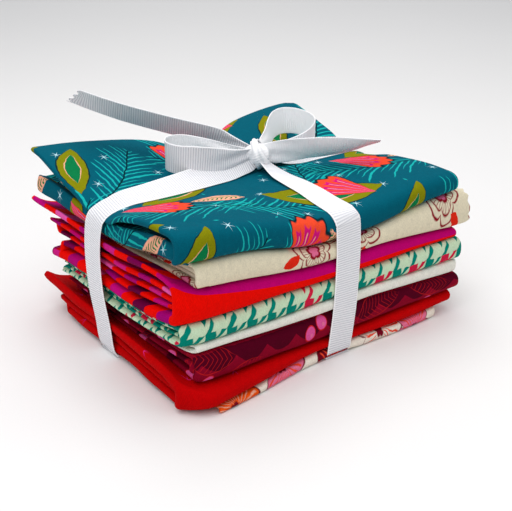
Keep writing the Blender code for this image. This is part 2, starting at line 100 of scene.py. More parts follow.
# %% Lamps
Lamp = namedtuple("Lamp", "name x y z size watts colour target")
ON_BUNDLE, ON_TABLE = (90, 70, 40), (900, 1150, 0)
LAMPS = (
    Lamp("window", 30, 250, 900, 0.8, 4.35, (1.0, 0.98, 0.96), ON_BUNDLE),
    Lamp("room", -430, -230, 760, 0.8, 3.85, (0.97, 0.97, 1.0), ON_BUNDLE),
    Lamp("right_fill", 520, -330, 700, 0.9, 2.1, (1.0, 0.98, 0.97), ON_BUNDLE),
    Lamp("back", 900, 1150, 1100, 1.4, 5.8, (1.0, 1.0, 1.0), ON_TABLE),
)
for lamp in LAMPS:
    light = bpy.data.lights.new(lamp.name, "AREA")
    light.size = lamp.size
    light.energy = lamp.watts
    light.color = lamp.colour
    lamp_object = bpy.data.objects.new(lamp.name, light)
    lamp_object.location = metres(lamp.x, lamp.y, lamp.z)
    towards = Vector(metres(*lamp.target)) - lamp_object.location
    lamp_object.rotation_euler = towards.to_track_quat("-Z", "Y").to_euler()
    bpy.context.scene.collection.objects.link(lamp_object)
print("lamps:", len(LAMPS), "with", sum(lamp.watts for lamp in LAMPS), "watts in all")

# %% [markdown]
# What the lamps leave dark is lit by the room itself. A world of one pale colour does this, and the view
# transform called Standard keeps the cloth's strong reds as strong as they are in the photograph.

# %% World and view
WORLD_COLOUR = (0.93, 0.95, 1.0)
WORLD_STRENGTH = 0.41
world = bpy.data.worlds.new("room")
world.use_nodes = True
world.node_tree.nodes["Background"].inputs["Color"].default_value = (*WORLD_COLOUR, 1.0)
world.node_tree.nodes["Background"].inputs["Strength"].default_value = WORLD_STRENGTH
bpy.context.scene.world = world
bpy.context.scene.view_settings.view_transform = "Standard"
print("world strength:", WORLD_STRENGTH)

# %% [markdown]
# The table is one wide, flat sheet of white paper. It is far wider than the view, so that no edge of it
# shows behind the bundle.

# %% Floor
FLOOR_COLOUR = (0.818, 0.812, 0.801)
FLOOR_HALF = 4.5
FLOOR_CORNERS = [(-FLOOR_HALF, -FLOOR_HALF, 0), (FLOOR_HALF, -FLOOR_HALF, 0), (FLOOR_HALF, FLOOR_HALF, 0),
                 (-FLOOR_HALF, FLOOR_HALF, 0)]
floor_mesh = bpy.data.meshes.new("floor")
floor_mesh.from_pydata(FLOOR_CORNERS, [], [(0, 1, 2, 3)])
floor = bpy.data.objects.new("floor", floor_mesh)
bpy.context.scene.collection.objects.link(floor)
print("floor:", 2 * FLOOR_HALF, "m wide")

# %% [markdown]
# The bundle is a stack of eight cloths, and a face is the place where one cloth stops and the next
# begins. Each face has nine heights: left, under the ribbon and right, at the front, under the ribbon and
# at the back. The ribbon pulls the middle row and column down, so each face is a soft saddle.

# %% Sizes and faces
LENGTH, DEPTH = 176.0, 138.0
CROSS_X, LONG_Y = 98.0, 78.0
BAND_HALF = 9.0
PULL_SPREAD_X, PULL_SPREAD_Y = 28.0, 24.0
LIFT_REACH, LIFT_LOSS = 8.0, 0.5
FLARE_REACH, FLARE_START = 8.0, 12.0
LAYER_GAP, LEG_GAP = 0.5, 0.5
MOST_FLUFF = 1.5

Face = namedtuple("Face", "front_left front_mid front_right mid_left mid mid_right "
                          "back_left back_mid back_right lift flare")
FACES = (
    Face(3.4, 6, 6.5, 4.6, 6, 6.5, 4.8, 6, 6.5, 0, -3),
    Face(13.5, 11.8, 14.5, 13, 12.5, 13.5, 15.5, 14, 14, 0, 8),
    Face(29.5, 26.5, 24.3, 26, 26, 25, 25.5, 26, 26, 3, 0),
    Face(33, 32.3, 31.5, 30.5, 31, 31, 28, 31, 31.5, 4, 0),
    Face(44, 43.5, 45, 38.5, 41.5, 43, 34.5, 41, 43.5, 5.5, 0),
    Face(63.6, 55.3, 52.5, 58.5, 56, 55, 59.5, 57, 57, 0, 7.5),
    Face(77, 65, 74.5, 67.5, 66, 68, 69, 69, 71, 0, 0),
    Face(93, 80, 86, 83.5, 82.5, 82.5, 97, 87.5, 88.5, 0, 0),
)
print("faces:", len(FACES), "top corner at", FACES[-1].back_left, "mm")

# %% [markdown]
# Between those nine heights a face has to pass smoothly. Bell curves across the two ribbons do this:
# their tops are as wide as the ribbon, and their tails are as long as its pull reaches into folded
# cotton. Straight lines between the heights would show as creases that the cloth doesn't have.

# %% Pull of the ribbon
RIPPLE = 0.16
RIPPLES = ((1.0, 13.0, 21.0, 1.7), (0.7, 7.3, -11.0, 3.9), (0.5, 29.0, 6.1, 5.3))
PRESSED_SPREAD, PRESSED_FLAT = 6.0, 0.8


def bell(distance, spread):
    """1 under the ribbon, falling away on both sides of it."""
    outside = np.maximum(0.0, np.abs(distance) - BAND_HALF)
    return np.exp(-0.5 * (outside / spread) ** 2)


def shares(position, full, ribbon, spread):
    """How much of the near, middle and far column a place takes."""
    mid = bell(position - ribbon, spread)
    far = np.clip(position / full, 0.0, 1.0) * (1.0 - mid)
    return 1.0 - mid - far, mid, far


def waves(table, x, y, seed, start=0.0):
    """Slow waves added up: each has a height, a width along x and along y, and a shift for the seed."""
    return sum((high * np.sin(x / wide_x + y / wide_y + shift * seed)
                for high, wide_x, wide_y, shift in table), start)


def ripple(index, x, y):
    """Small unevenness of hand-folded cloth, which the ribbon presses flat."""
    pressed = np.maximum(bell(x - CROSS_X, PRESSED_SPREAD), bell(y - LONG_Y, PRESSED_SPREAD))
    return RIPPLE * waves(RIPPLES, x, y, index) * (1.0 - PRESSED_FLAT * pressed)


print("pull 20 mm beside the ribbon:", round(float(bell(BAND_HALF + 20.0, PULL_SPREAD_Y)), 2))

# %% [markdown]
# On the top cloth the knot gathers soft troughs and ridges, its back right corner peaks, and the ribbon
# rounds the edges that it runs over. Simulated cloth would crease where it likes, so each crease is
# listed instead, with its own line, height and width.

# %% Creases of the top cloth
Crease = namedtuple("Crease", "x y to_x to_y rise spread")
CREASES = (
    Crease(92, 66, 30, 12, -0.7, 3.0),
    Crease(88, 60, 52, 8, 0.5, 2.4),
    Crease(108, 66, 168, 22, -0.6, 3.2),
    Crease(112, 58, 140, 10, 0.45, 2.6),
    Crease(92, 92, 40, 132, -0.6, 3.4),
    Crease(84, 96, 16, 108, 0.5, 3.0),
    Crease(110, 92, 160, 128, -0.6, 3.2),
    Crease(6, 16, 34, 4, -0.5, 2.2),
    Crease(150, 60, 174, 34, 0.4, 2.2),
    Crease(40, 34, 8, 50, 0.35, 2.6),
)
WANDER = 1.2
SOFT_CORNER, SOFT_REACH, SOFT_SPREAD = 5.0, 14.0, 7.0
PEAK_RISE, PEAK_REACH = 7.8, 64.0


def creases(x, y):
    """Soft troughs and ridges that the knot pulls into the top cloth, each along its own line."""
    height = 0.0
    for crease in CREASES:
        run = math.hypot(crease.to_x - crease.x, crease.to_y - crease.y)
        along_x, along_y = (crease.to_x - crease.x) / run, (crease.to_y - crease.y) / run
        share = ((x - crease.x) * along_x + (y - crease.y) * along_y) / run
        aside = (y - crease.y) * along_x - (x - crease.x) * along_y
        aside = aside + WANDER * np.sin(4.0 * share + crease.spread)
        fade = np.clip(4.0 * share, 0.0, 1.0) * np.clip(1.6 * (1.0 - share), 0.0, 1.0)
        height = height + crease.rise * fade * np.exp(-0.5 * (aside / crease.spread) ** 2)
    return height


def soft_corners(x, y):
    """The ribbon rounds off the top edges that it runs over."""
    inward = (x, LENGTH - x, DEPTH - y)
    left, right, back = (np.clip(1.0 - distance / SOFT_REACH, 0.0, 1.0) for distance in inward)
    ends = (left ** 2 + right ** 2) * bell(y - LONG_Y, SOFT_SPREAD)
    return SOFT_CORNER * (ends + back ** 2 * bell(x - CROSS_X, SOFT_SPREAD))


def raised_corner(x, y):
    """The back right corner stands up, but not where the ribbon holds the cloth down."""
    near_corner = np.maximum(0.0, 1.0 - np.hypot(x - LENGTH, y - DEPTH) / PEAK_REACH)
    return PEAK_RISE * near_corner ** 2 * (1.0 - bell(y - LONG_Y, PRESSED_SPREAD))


print("creases:", len(CREASES))

# %% [markdown]
# Everything now comes together in one height for each place of each face. The front of a loose cloth
# lifts, its left end flares, and only the top face has creases. The underside is flat but for the
# ribbon's tunnels.

# %% Height of a face
TUNNEL_HIGH, TUNNEL_SPREAD, TUNNEL_SHIFT = 0.8, 2.5, 1.5


def face_height(index, x, y):
    """Height of a face by its number, where 0 is the underside, which lies on the table."""
    if index == 0:
        under_cross = bell(x - CROSS_X + TUNNEL_SHIFT, TUNNEL_SPREAD)
        return TUNNEL_HIGH * (under_cross + bell(y - LONG_Y, TUNNEL_SPREAD))
    face = FACES[index - 1]
    near, mid, far = shares(x, LENGTH, CROSS_X, PULL_SPREAD_X)
    front, middle, back = shares(y, DEPTH, LONG_Y, PULL_SPREAD_Y)
    height = front * (near * face.front_left + mid * face.front_mid + far * face.front_right)
    height = height + middle * (near * face.mid_left + mid * face.mid + far * face.mid_right)
    height = height + back * (near * face.back_left + mid * face.back_mid + far * face.back_right)
    inside = 1.0 - np.exp(-np.maximum(0.0, y) / FLARE_START) if face.flare > 0 else 1.0
    lifted = 1.0 - LIFT_LOSS * np.maximum(0.0, x) / LENGTH
    height = height + face.lift * lifted * np.exp(-np.maximum(0.0, y) / LIFT_REACH)
    height = height + face.flare * np.exp(-np.maximum(0.0, x) / FLARE_REACH) * inside
    if index == len(FACES):
        height = height + creases(x, y) - soft_corners(x, y) + raised_corner(x, y)
    return height + ripple(index, x, y)


print("top under the knot:", round(float(face_height(8, np.array(CROSS_X), np.array(LONG_Y))), 1), "mm")

# %% [markdown]
# A cloth is folded before it is stacked, so each one is a single sheet that runs through several legs,
# from its free edge over the front fold, back, and forward again. The table gives each leg's left, right
# and back end, its thickness, and how much of the air it takes.

# %% The cloths and their legs
Leg = namedtuple("Leg", "left right back thick loose pinked", defaults=(1.0, 0.0))
Cloth = namedtuple("Cloth", "name front_left front_mid front_right nose corner legs")
CLOTHS = (
    Cloth("floral", -8.6, 0.9, 1.5, 3.4, 0, (
        Leg(15, 170, 132, 2.2),
        Leg(17, 168, 129, 2.2))),
    Cloth("red", -8.4, 0.9, 0.5, 6.4, 11, (
        Leg(-1.5, 181.2, 148, 4.4),
        Leg(1.5, 178.6, 136, 2.5),
        Leg(1, 179.8, 127, 2.9))),
    Cloth("burgundy", -1.5, 0.9, -1, 6.6, 4, (
        Leg(7, 183.4, 133, 3),
        Leg(5.5, 178, 128, 2.6),
        Leg(9, 180, 130, 2.6),
        Leg(7.5, 186.3, 126, 3))),
    Cloth("white", 0.5, 0.9, 0, 2.6, 2, (
        Leg(7, 183.5, 136, 2.3),
        Leg(6, 182, 133, 2.3))),
    Cloth("mint", 0, 0.9, -1.5, 5.6, 4, (
        Leg(1.5, 183.5, 125, 2.2),
        Leg(3.5, 180, 121, 2.2),
        Leg(3, 181, 127, 2.2),
        Leg(0.5, 184.5, 129, 3))),
    Cloth("stripe", -0.5, 0.9, 0.5, 7.2, 5, (
        Leg(-1, 180.5, 154, 2.4),
        Leg(1, 178, 140, 1.8),
        Leg(2.5, 177, 132, 1.6),
        Leg(2, 178.5, 127, 1.6),
        Leg(-0.5, 181, 138, 3.4))),
    Cloth("cream", -0.5, 0.9, -1, 5.4, 1.5, (
        Leg(8, 185, 137, 2.6, 1, 0.9),
        Leg(10, 188, 131, 2.4, 1, 0.9),
        Leg(11, 187, 134, 2.4),
        Leg(9, 191.6, 130, 2.8, 1, 1))),
    Cloth("teal", -2, 0.9, -1, 8.6, 2.5, (
        Leg(-1.8, 176.5, 149, 2, 6),
        Leg(5, 176, 146, 1.4, 0.5),
        Leg(5.5, 175, 143, 1.4, 0.5),
        Leg(5, 178, 150, 1.8))),
)
print("legs in all:", sum(len(cloth.legs) for cloth in CLOTHS))

# %% [markdown]
# The legs of one cloth share the height between its two faces. Each takes its own thickness, a little
# fluffed up where there is room, and the air that is left goes under the legs that are loose. So no two
# legs ever touch, and the loose flap on top stands clear of the roll below it.

# %% Thickness of every leg
UNEVEN = ((0.10, 37.0, 23.0, 1.0), (0.06, -23.0, 11.3, 2.0))


def unevenness(number, leg_number, x, y):
    """A leg is a few layers of cloth, a little thicker in one place than in another."""
    return waves(UNEVEN, x, y, 2.1 * number + 1.3 * leg_number, start=1.0)


def levels(number, x, y):
    """Bottom and top of each leg of one cloth, from the top leg to the lowest."""
    legs = CLOTHS[number].legs
    low = face_height(number, x, y) + (LAYER_GAP / 2 if number else 0.0)
    high = face_height(number + 1, x, y) - LAYER_GAP / 2
    thick = [leg.thick * unevenness(number, place, x, y) for place, leg in enumerate(legs)]
    total = sum(thick)
    count = len(legs) - 1
    scale = np.minimum(MOST_FLUFF, (high - low - count * LEG_GAP) / total)
    air = high - low - scale * total - count * LEG_GAP
    loose = sum(leg.loose for leg in legs[:-1])
    out = []
    top = high
    for leg, depth in zip(legs, thick):
        bottom = top - scale * depth
        out.append((bottom, top))
        top = bottom - LEG_GAP - air * leg.loose / loose
    return out


spot = levels(7, np.array([0.0]), np.array([20.0]))
print("teal legs at the left end:", [tuple(round(float(v[0]), 1) for v in leg) for leg in spot])

# %% [markdown]
# Hand-folded edges never line up. Each end has its own place and a slow wobble, and it is drawn in where
# the ribbon goes round. The order of the legs matters as well: a cloth that is folded in half twice has
# its inner folds nested in its outer ones.

# %% Where folds and leg ends lie
CORNER_REACH = 14.0
END_PULL_SPREAD, BACK_PULL_SPREAD = 8.0, 14.0
DRAWN_LEFT, DRAWN_RIGHT, DRAWN_BACK = 0.2, 176.6, 138.6
BACK_NOSE = 2.6
BACK_WOBBLE, BACK_WOBBLE_WIDE, BACK_PRESSED = 0.5, 15.0, 10.0
WOBBLES = ((0.4, 13.0, 1.9), (0.15, 5.3, 3.1))


def front_edge(cloth, x):
    """How far forward the front fold of a cloth reaches; its left corner draws back."""
    near, mid, far = shares(x, LENGTH, CROSS_X, PULL_SPREAD_X)
    corner = np.maximum(0.0, 1.0 - np.maximum(0.0, x) / CORNER_REACH)
    fold = near * cloth.front_left + mid * cloth.front_mid + far * cloth.front_right
    return fold + cloth.corner * corner ** 2


def wobble(seed, along):
    """How far a hand-folded edge strays from its line."""
    return sum(high * math.sin(along / wide + shift * seed) for high, wide, shift in WOBBLES)


def leg_ends(leg, y):
    """Left and right end of a leg, drawn in to the ribbon's line where the ribbon passes."""
    pull = float(bell(y - LONG_Y, END_PULL_SPREAD))
    seed = leg.left + leg.right + leg.thick
    left = leg.left + wobble(seed, y)
    right = leg.right + wobble(seed + 5.0, y)
    left = max(left, left + (DRAWN_LEFT - left) * pull)
    right = min(right, right + (DRAWN_RIGHT - right) * pull)
    return left, right


def fold_order(count):
    """Order in which the sheet runs through its legs, so that inner folds nest in outer ones."""
    order = []
    high, low = 0, count - 1
    downward = True
    while high <= low:
        pair = (high, low) if downward else (low, high)
        order.extend(pair if high < low else pair[:1])
        high, low, downward = high + 1, low - 1, not downward
    return order


def turned_at_back(cloth, leg_number):
    """Whether the sheet turns round at the back end of a leg."""
    place = fold_order(len(cloth.legs)).index(leg_number)
    return 0 < place and (place % 2 == 0 or place + 1 < len(cloth.legs))


def leg_end(cloth, leg_number, x):
    """Where a leg ends at the back, drawn in where the ribbon passes."""
    reach = cloth.legs[leg_number].back
    drawn = reach + (DRAWN_BACK - reach) * bell(x - CROSS_X, BACK_PULL_SPREAD)
    uneven = BACK_WOBBLE * np.sin(x / BACK_WOBBLE_WIDE + reach) * (1.0 - bell(x - CROSS_X, BACK_PRESSED))
    return np.minimum(reach, drawn) + uneven - (BACK_NOSE if turned_at_back(cloth, leg_number) else 0.0)


print("fold order of four legs:", fold_order(4))

# %% [markdown]
# A row is one cut through the sheet from its left end, over its first side, round its right end and back
# along its other side. The ends are half ellipses, because each leg is a strip folded double. Rows run
# along the sheet, and the length run so far is kept as a cloth coordinate, so prints follow the folds.

# %% Columns of a row
END_STEPS = 5
MIDDLE_COLUMNS = 58
Row = namedtuple("Row", "first second across")


def columns(left, right, radius):
    """Places across a row, close together at its rounded ends, with the thickness and cloth width there."""
    turn = np.radians(np.linspace(0.0, 90.0, END_STEPS + 1))[:-1]
    inner = np.linspace(left + radius, right - radius, MIDDLE_COLUMNS)
    inset = radius * (1.0 - np.cos(turn))
    x = np.concatenate((left + inset, inner, (right - inset)[::-1]))
    share = np.concatenate((np.sin(turn), np.ones(MIDDLE_COLUMNS), np.sin(turn)[::-1]))
    rounded = radius * (math.pi / 2 - turn)
    across = np.concatenate((inner[0] - rounded, inner, (inner[-1] + rounded)[::-1]))
    return x, share, across


def make_row(side_a, side_b, share, across, thin=1.0):
    """Both sides of a row, closed to a half ellipse at the ends."""
    middle, half_way = (side_a + side_b) / 2, (side_a - side_b) / 2
    spread = half_way * (share * thin)[:, None]
    return Row(middle + spread, middle - spread, across)


print("columns of a row:", len(columns(0.0, LENGTH, 1.0)[0]))

# %% [markdown]
# A leg is a flat run from the front fold to the back, or the other way round. Its rows are 3 mm apart.
# Where the sheet ends, the last rows close it with a rounded edge, and a pinked cloth steps in and out at
# its right end.

# %% Rows of a leg
ROW_STEP = 3.0
EDGE_ROUND = 0.6
FREE_EDGE_TURNS = (90, 67, 45, 22, 6)


def leg_rows(number, leg_number, forward, free_back):
    """Rows of one leg: its first side is on top where the sheet runs forward."""
    cloth = CLOTHS[number]
    leg = cloth.legs[leg_number]
    radius = EDGE_ROUND * leg.thick
    run = leg.back - cloth.nose - 1.0
    fractions = list(np.linspace(0.0, 1.0, int(run / ROW_STEP) + 1))
    thins = [1.0] * len(fractions)
    if free_back:
        turns = [math.radians(angle) for angle in FREE_EDGE_TURNS]
        fractions = fractions[:-1] + sorted(1.0 - radius * (1.0 - math.cos(angle)) / run for angle in turns)
        thins = thins[:-1] + sorted((math.sin(angle) for angle in turns), reverse=True)
    rows = []
    for fraction, thin in zip(fractions, thins):
        start = float(front_edge(cloth, np.array(LENGTH / 2))) + cloth.nose
        end = float(leg_end(cloth, leg_number, np.array(LENGTH / 2)))
        left, right = leg_ends(leg, start + fraction * (end - start))
        right += leg.pinked * (len(rows) % 2 - 0.5) * 2.0
        x, share, across = columns(left, right, radius)
        start = front_edge(cloth, x) + cloth.nose
        y = start + fraction * (leg_end(cloth, leg_number, x) - start)
        bottom, top = levels(number, x, y)[leg_number]
        upper_side, lower_side = np.stack((x, y, top), 1), np.stack((x, y, bottom), 1)
        sides = (upper_side, lower_side) if forward else (lower_side, upper_side)
        rows.append(make_row(*sides, share, across, thin))
    return rows[::-1] if forward else rows


print("rows of the teal flap:", len(leg_rows(7, 0, True, True)))

# %% [markdown]
# At a fold the sheet bulges and turns round on itself. An ellipse would look like a pipe, so the turn is
# a little squarer, as pressed cotton is. Outer folds go round the inner ones and keep clear of them.

# %% Rows of a turn
FRONT_STEPS, INNER_STEPS, BACK_STEPS = 20, 10, 8
TURN_POWER = 0.8
LATE_TURN = 0.8
TEETH_HIGH, TEETH_STEPS = 1.1, 4.6


def rounded_step(angle):
    """Sine and cosine of a turn that is a little squarer than an ellipse."""
    sine, cosine = math.sin(angle), math.cos(angle)
    return abs(sine) ** TURN_POWER, math.copysign(abs(cosine) ** TURN_POWER, cosine)


def turn_rows(number, upper, lower, at_front, rank, downward):
    """Rows of the turn that joins two legs, as a half ellipse round the inner folds."""
    cloth = CLOTHS[number]
    legs = cloth.legs[upper], cloth.legs[lower]
    steps = BACK_STEPS
    if at_front:
        steps = FRONT_STEPS if rank == 0 else INNER_STEPS
    rows = []
    for step in range(1, steps):
        sine, cosine = rounded_step(math.pi * step / steps)
        part = step / steps
        middle_y = float(front_edge(cloth, np.array(LENGTH / 2))) + cloth.nose if at_front else DEPTH
        a, b = leg_ends(legs[0], middle_y), leg_ends(legs[1], middle_y)
        late = max(0.0, (part - LATE_TURN) / (1.0 - LATE_TURN)) if at_front else part
        teeth = TEETH_HIGH * legs[0].pinked * math.sin(step * 2 * math.pi / TEETH_STEPS)
        left = (1 - late) * a[0] + late * b[0]
        right = (1 - part) * a[1] + part * b[1] + teeth
        radius = EDGE_ROUND * ((1 - part) * legs[0].thick + part * legs[1].thick)
        x, share, across = columns(left, right, radius)
        if at_front:
            y = front_edge(cloth, x) + cloth.nose
            sign, depth = -1.0, cloth.nose - rank * (legs[0].thick + LEG_GAP)
        else:
            y = np.minimum(leg_end(cloth, upper, x), leg_end(cloth, lower, x))
            sign, depth = 1.0, BACK_NOSE
        stack = levels(number, x, y)
        top, bottom = stack[upper][1], stack[lower][0]
        inner_top, inner_bottom = stack[upper][0], stack[lower][1]
        inner_depth = depth - 0.5 * (top - inner_top + inner_bottom - bottom)
        outer_z = (top + bottom) / 2 + (top - bottom) / 2 * cosine
        inner_z = (inner_top + inner_bottom) / 2 + (inner_top - inner_bottom) / 2 * cosine
        outer_side = np.stack((x, y + sign * depth * sine, outer_z), 1)
        inner_side = np.stack((x, y + sign * inner_depth * sine, inner_z), 1)
        sides = (outer_side, inner_side) if downward == at_front else (inner_side, outer_side)
        rows.append(make_row(*sides, share, across))
    return rows if downward else rows[::-1]


print("rows of the teal cloth's front fold:", len(turn_rows(7, 0, 3, True, 0, True)))

# %% [markdown]
# Legs and turns follow each other in the order of folding, and so a cloth is one sheet from end to end.
# The front folds count from the outside, because each next one lies inside the last.

# %% Rows of a whole cloth
def sheet_rows(number):
    """The whole run of one cloth from its free top edge to its other end."""
    order = fold_order(len(CLOTHS[number].legs))
    rows = []
    rank = 0
    for place, leg_number in enumerate(order):
        forward = place % 2 == 0
        last = place + 1 == len(order)
        rows.extend(leg_rows(number, leg_number, forward, place == 0 or (last and not forward)))
        if not last:
            following = order[place + 1]
            upper, lower = sorted((leg_number, following))
            downward = following > leg_number
            rows.extend(turn_rows(number, upper, lower, forward, rank if forward else 0, downward))
            rank += 1 if forward else 0
    return rows


print("rows of the teal cloth:", len(sheet_rows(7)))

# %% [markdown]
# Rows become a mesh by joining each to the next with four-sided faces and closing the two ends. At the
# same time every corner gets its place in the flat cloth, in millimetres, as a UV map. A print that is
# drawn on these coordinates keeps its true size and turns round the folds, which object coordinates could
# never do.

# %% Mesh of a sheet, with its cloth coordinates
def across_loop(row):
    """Cloth widths once round a row: along its first side, then back along its other side."""
    return np.concatenate((row.across, (2 * row.across[0] - row.across)[::-1]))


def sheet_mesh(name, rows):
    """A closed mesh whose UV map holds millimetres of cloth: u across, v along from the foremost row."""
    count = len(rows[0].first)
    corners = 2 * count - 2
    points = np.concatenate([np.concatenate((row.first, row.second[-2:0:-1])) for row in rows])
    middles = np.array([(row.first[count // 2] + row.second[count // 2]) / 2 for row in rows])
    steps = np.linalg.norm(np.diff(middles, axis=0), axis=1)
    along = np.concatenate(([0.0], np.cumsum(steps)))
    length = float(along[-1])
    along -= along[int(np.argmin(middles[:, 1]))]
    faces, uvs = [], []
    for row in range(len(rows) - 1):
        here, there = row * corners, (row + 1) * corners
        near, far = across_loop(rows[row]), across_loop(rows[row + 1])
        for side in range(corners):
            following = (side + 1) % corners
            faces.append((here + side, here + following, there + following, there + side))
            u = side if side < count - 1 else side + 1
            uvs.extend(((near[u], along[row]), (near[u + 1], along[row]),
                        (far[u + 1], along[row + 1]), (far[u], along[row + 1])))
    for row, flip in ((0, True), (len(rows) - 1, False)):
        start = row * corners
        for side in range(count - 1):
            a, b = start + side, start + side + 1
            c = start + (corners - side - 1) % corners
            d = start + (corners - side) % corners
            cap = [p for number, p in enumerate((a, b, c, d)) if (a, b, c, d).index(p) == number]
            faces.append(tuple(cap[::-1] if flip else cap))
            uvs.extend([(rows[row].across[side], along[row])] * len(cap))
    mesh = bpy.data.meshes.new(name)
    mesh.from_pydata([metres(*point) for point in points], [], faces)
    layer = mesh.uv_layers.new(name="cloth")
    layer.data.foreach_set("uv", np.array(uvs, dtype=np.float32).ravel())
    mesh.shade_smooth()
    return mesh, length


print("cloth widths round a row of two columns:", across_loop(Row(None, None, np.array((0.0, 5.0)))))

# %% [markdown]
# Every piece is linked, rides on the one body, stands for its solid and gets its material, so one helper
# does all of that. It also turns the faces outwards: the sign of the volume that they enclose tells which
# way they point.

# %% Add a piece
def outward(mesh):
    """Turn the faces out where they point in."""
    volume = 0.0
    for polygon in mesh.polygons:
        a = mesh.vertices[polygon.vertices[0]].co
        b, c = mesh.vertices[polygon.vertices[1]].co, mesh.vertices[polygon.vertices[2]].co
        volume += a.dot(b.cross(c))
    if volume < 0:
        mesh.flip_normals()
    return mesh


def add_piece(name, mesh, material, node):
    """Link a piece, let it ride on the body and stand for its solid."""
    piece = bpy.data.objects.new(name, outward(mesh))
    bpy.context.scene.collection.objects.link(piece)
    mesh.materials.append(material)
    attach(piece, "root")
    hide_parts(node)
    return piece


# %% [markdown]
# Prints are drawn with arithmetic on the cloth coordinates, because then they have sharp edges at any
# size and run round the folds. A small class lets Python's own signs add the nodes, so that a formula
# reads as a formula.

# %% Signals: arithmetic that builds nodes
class Signal:
    """One value or vector in a node tree."""

    def __init__(self, tree, socket):
        self.tree, self.socket = tree, socket


SIGNS = {"add": "ADD", "sub": "SUBTRACT", "mul": "MULTIPLY", "truediv": "DIVIDE"}
for sign, operation in SIGNS.items():
    setattr(Signal, f"__{sign}__", lambda self, other, name=operation: calc(name, self, other))
    setattr(Signal, f"__r{sign}__", lambda self, other, name=operation: calc(name, other, self))


def feed(tree, socket, value):
    """Link a signal to a socket, or set the socket's own value."""
    if isinstance(value, Signal):
        tree.links.new(value.socket, socket)
    elif isinstance(value, (tuple, list)):
        socket.default_value = (*value, 1.0)[:len(socket.default_value)]
    else:
        socket.default_value = value


def calc(operation, *values, clamp=False):
    """A Math node on signals and numbers."""
    tree = next(value.tree for value in values if isinstance(value, Signal))
    node = tree.nodes.new("ShaderNodeMath")
    node.operation = operation
    node.use_clamp = clamp
    for socket, value in zip(node.inputs, values):
        feed(tree, socket, value)
    return Signal(tree, node.outputs[0])


def vectors(operation, *values):
    """A Vector Math node on signals and tuples."""
    tree = next(value.tree for value in values if isinstance(value, Signal))
    node = tree.nodes.new("ShaderNodeVectorMath")
    node.operation = operation
    for socket, value in zip(node.inputs, values):
        feed(tree, socket, value)
    return Signal(tree, node.outputs["Value" if operation in ("LENGTH", "DOT_PRODUCT") else "Vector"])


print("signs that build a node:", ", ".join(SIGNS))

# %% [markdown]
# A motif is a mask, from 0 outside it to 1 inside. Small helpers take a place apart, measure it and turn
# a distance into a mask with a soft edge. The edge is soft by a fraction of a millimetre, because ink
# sinks into the yarn, and because a hard step would flicker at the size of a pixel.

# %% Places and masks
MIX_COLOUR_INPUTS, MIX_COLOUR_OUTPUT = (0, 6, 7), 2


def parts(vector):
    """The x, y and z of a place."""
    node = vector.tree.nodes.new("ShaderNodeSeparateXYZ")
    feed(vector.tree, node.inputs[0], vector)
    return [Signal(vector.tree, output) for output in node.outputs]


def joined(x, y, z=0.0):
    """One place from its parts."""
    tree = next(value.tree for value in (x, y, z) if isinstance(value, Signal))
    node = tree.nodes.new("ShaderNodeCombineXYZ")
    for socket, value in zip(node.inputs, (x, y, z)):
        feed(tree, socket, value)
    return Signal(tree, node.outputs[0])


def size(value):
    """A value without its sign."""
    return calc("ABSOLUTE", value)


def both(a, b):
    """Where two masks overlap."""
    return calc("MULTIPLY", a, b)


def either(a, b):
    """Where at least one of two masks is."""
    return calc("MAXIMUM", a, b)


def below(value, limit, soft):
    """1 where a value is below a limit, with a soft edge of the given width."""
    return calc("ADD", (limit - value) / soft, 0.5, clamp=True)


def mixed(mask, colour, other):
    """colour where the mask is 0 and other where it is 1."""
    tree = mask.tree
    node = tree.nodes.new("ShaderNodeMix")
    node.data_type = "RGBA"
    for number, value in zip(MIX_COLOUR_INPUTS, (mask, colour, other)):
        feed(tree, node.inputs[number], value)
    return Signal(tree, node.outputs[MIX_COLOUR_OUTPUT])


print("sockets of a colour mix:", MIX_COLOUR_INPUTS)

# %% [markdown]
# Cloth is never even, so noise and steady random numbers come next. Colours were read off the photograph
# on a screen, from 0 to 255, and a shader wants them linear, so one helper turns them.

# %% Chance, noise and colours
def chance(value):
    """A steady random number for each whole number or whole-numbered place."""
    node = value.tree.nodes.new("ShaderNodeTexWhiteNoise")
    node.noise_dimensions = "3D"
    feed(value.tree, node.inputs["Vector"], value)
    return Signal(value.tree, node.outputs["Color"])


def noise(place, scale, detail=2.0):
    """Soft noise: its grey value and its colour."""
    node = place.tree.nodes.new("ShaderNodeTexNoise")
    feed(place.tree, node.inputs["Vector"], place)
    node.inputs["Scale"].default_value = scale
    node.inputs["Detail"].default_value = detail
    return Signal(place.tree, node.outputs["Fac"]), Signal(place.tree, node.outputs["Color"])


def srgb(red, green, blue):
    """A colour as it is read off a screen, from 0 to 255, for a shader."""
    return tuple((value / 255 / 12.92) if value <= 10 else ((value / 255 + 0.055) / 1.055) ** 2.4
                 for value in (red, green, blue))


print("middle grey for a shader:", [round(value, 3) for value in srgb(128, 128, 128)])

# %% [markdown]
# A motif is used many times, so each is a shader node group: its sockets are the sizes that change from
# one use to the next. A number as default makes a value socket, and a place needs a vector socket.

# %% Node groups
VALUE, PLACE = "NodeSocketFloat", "NodeSocketVector"


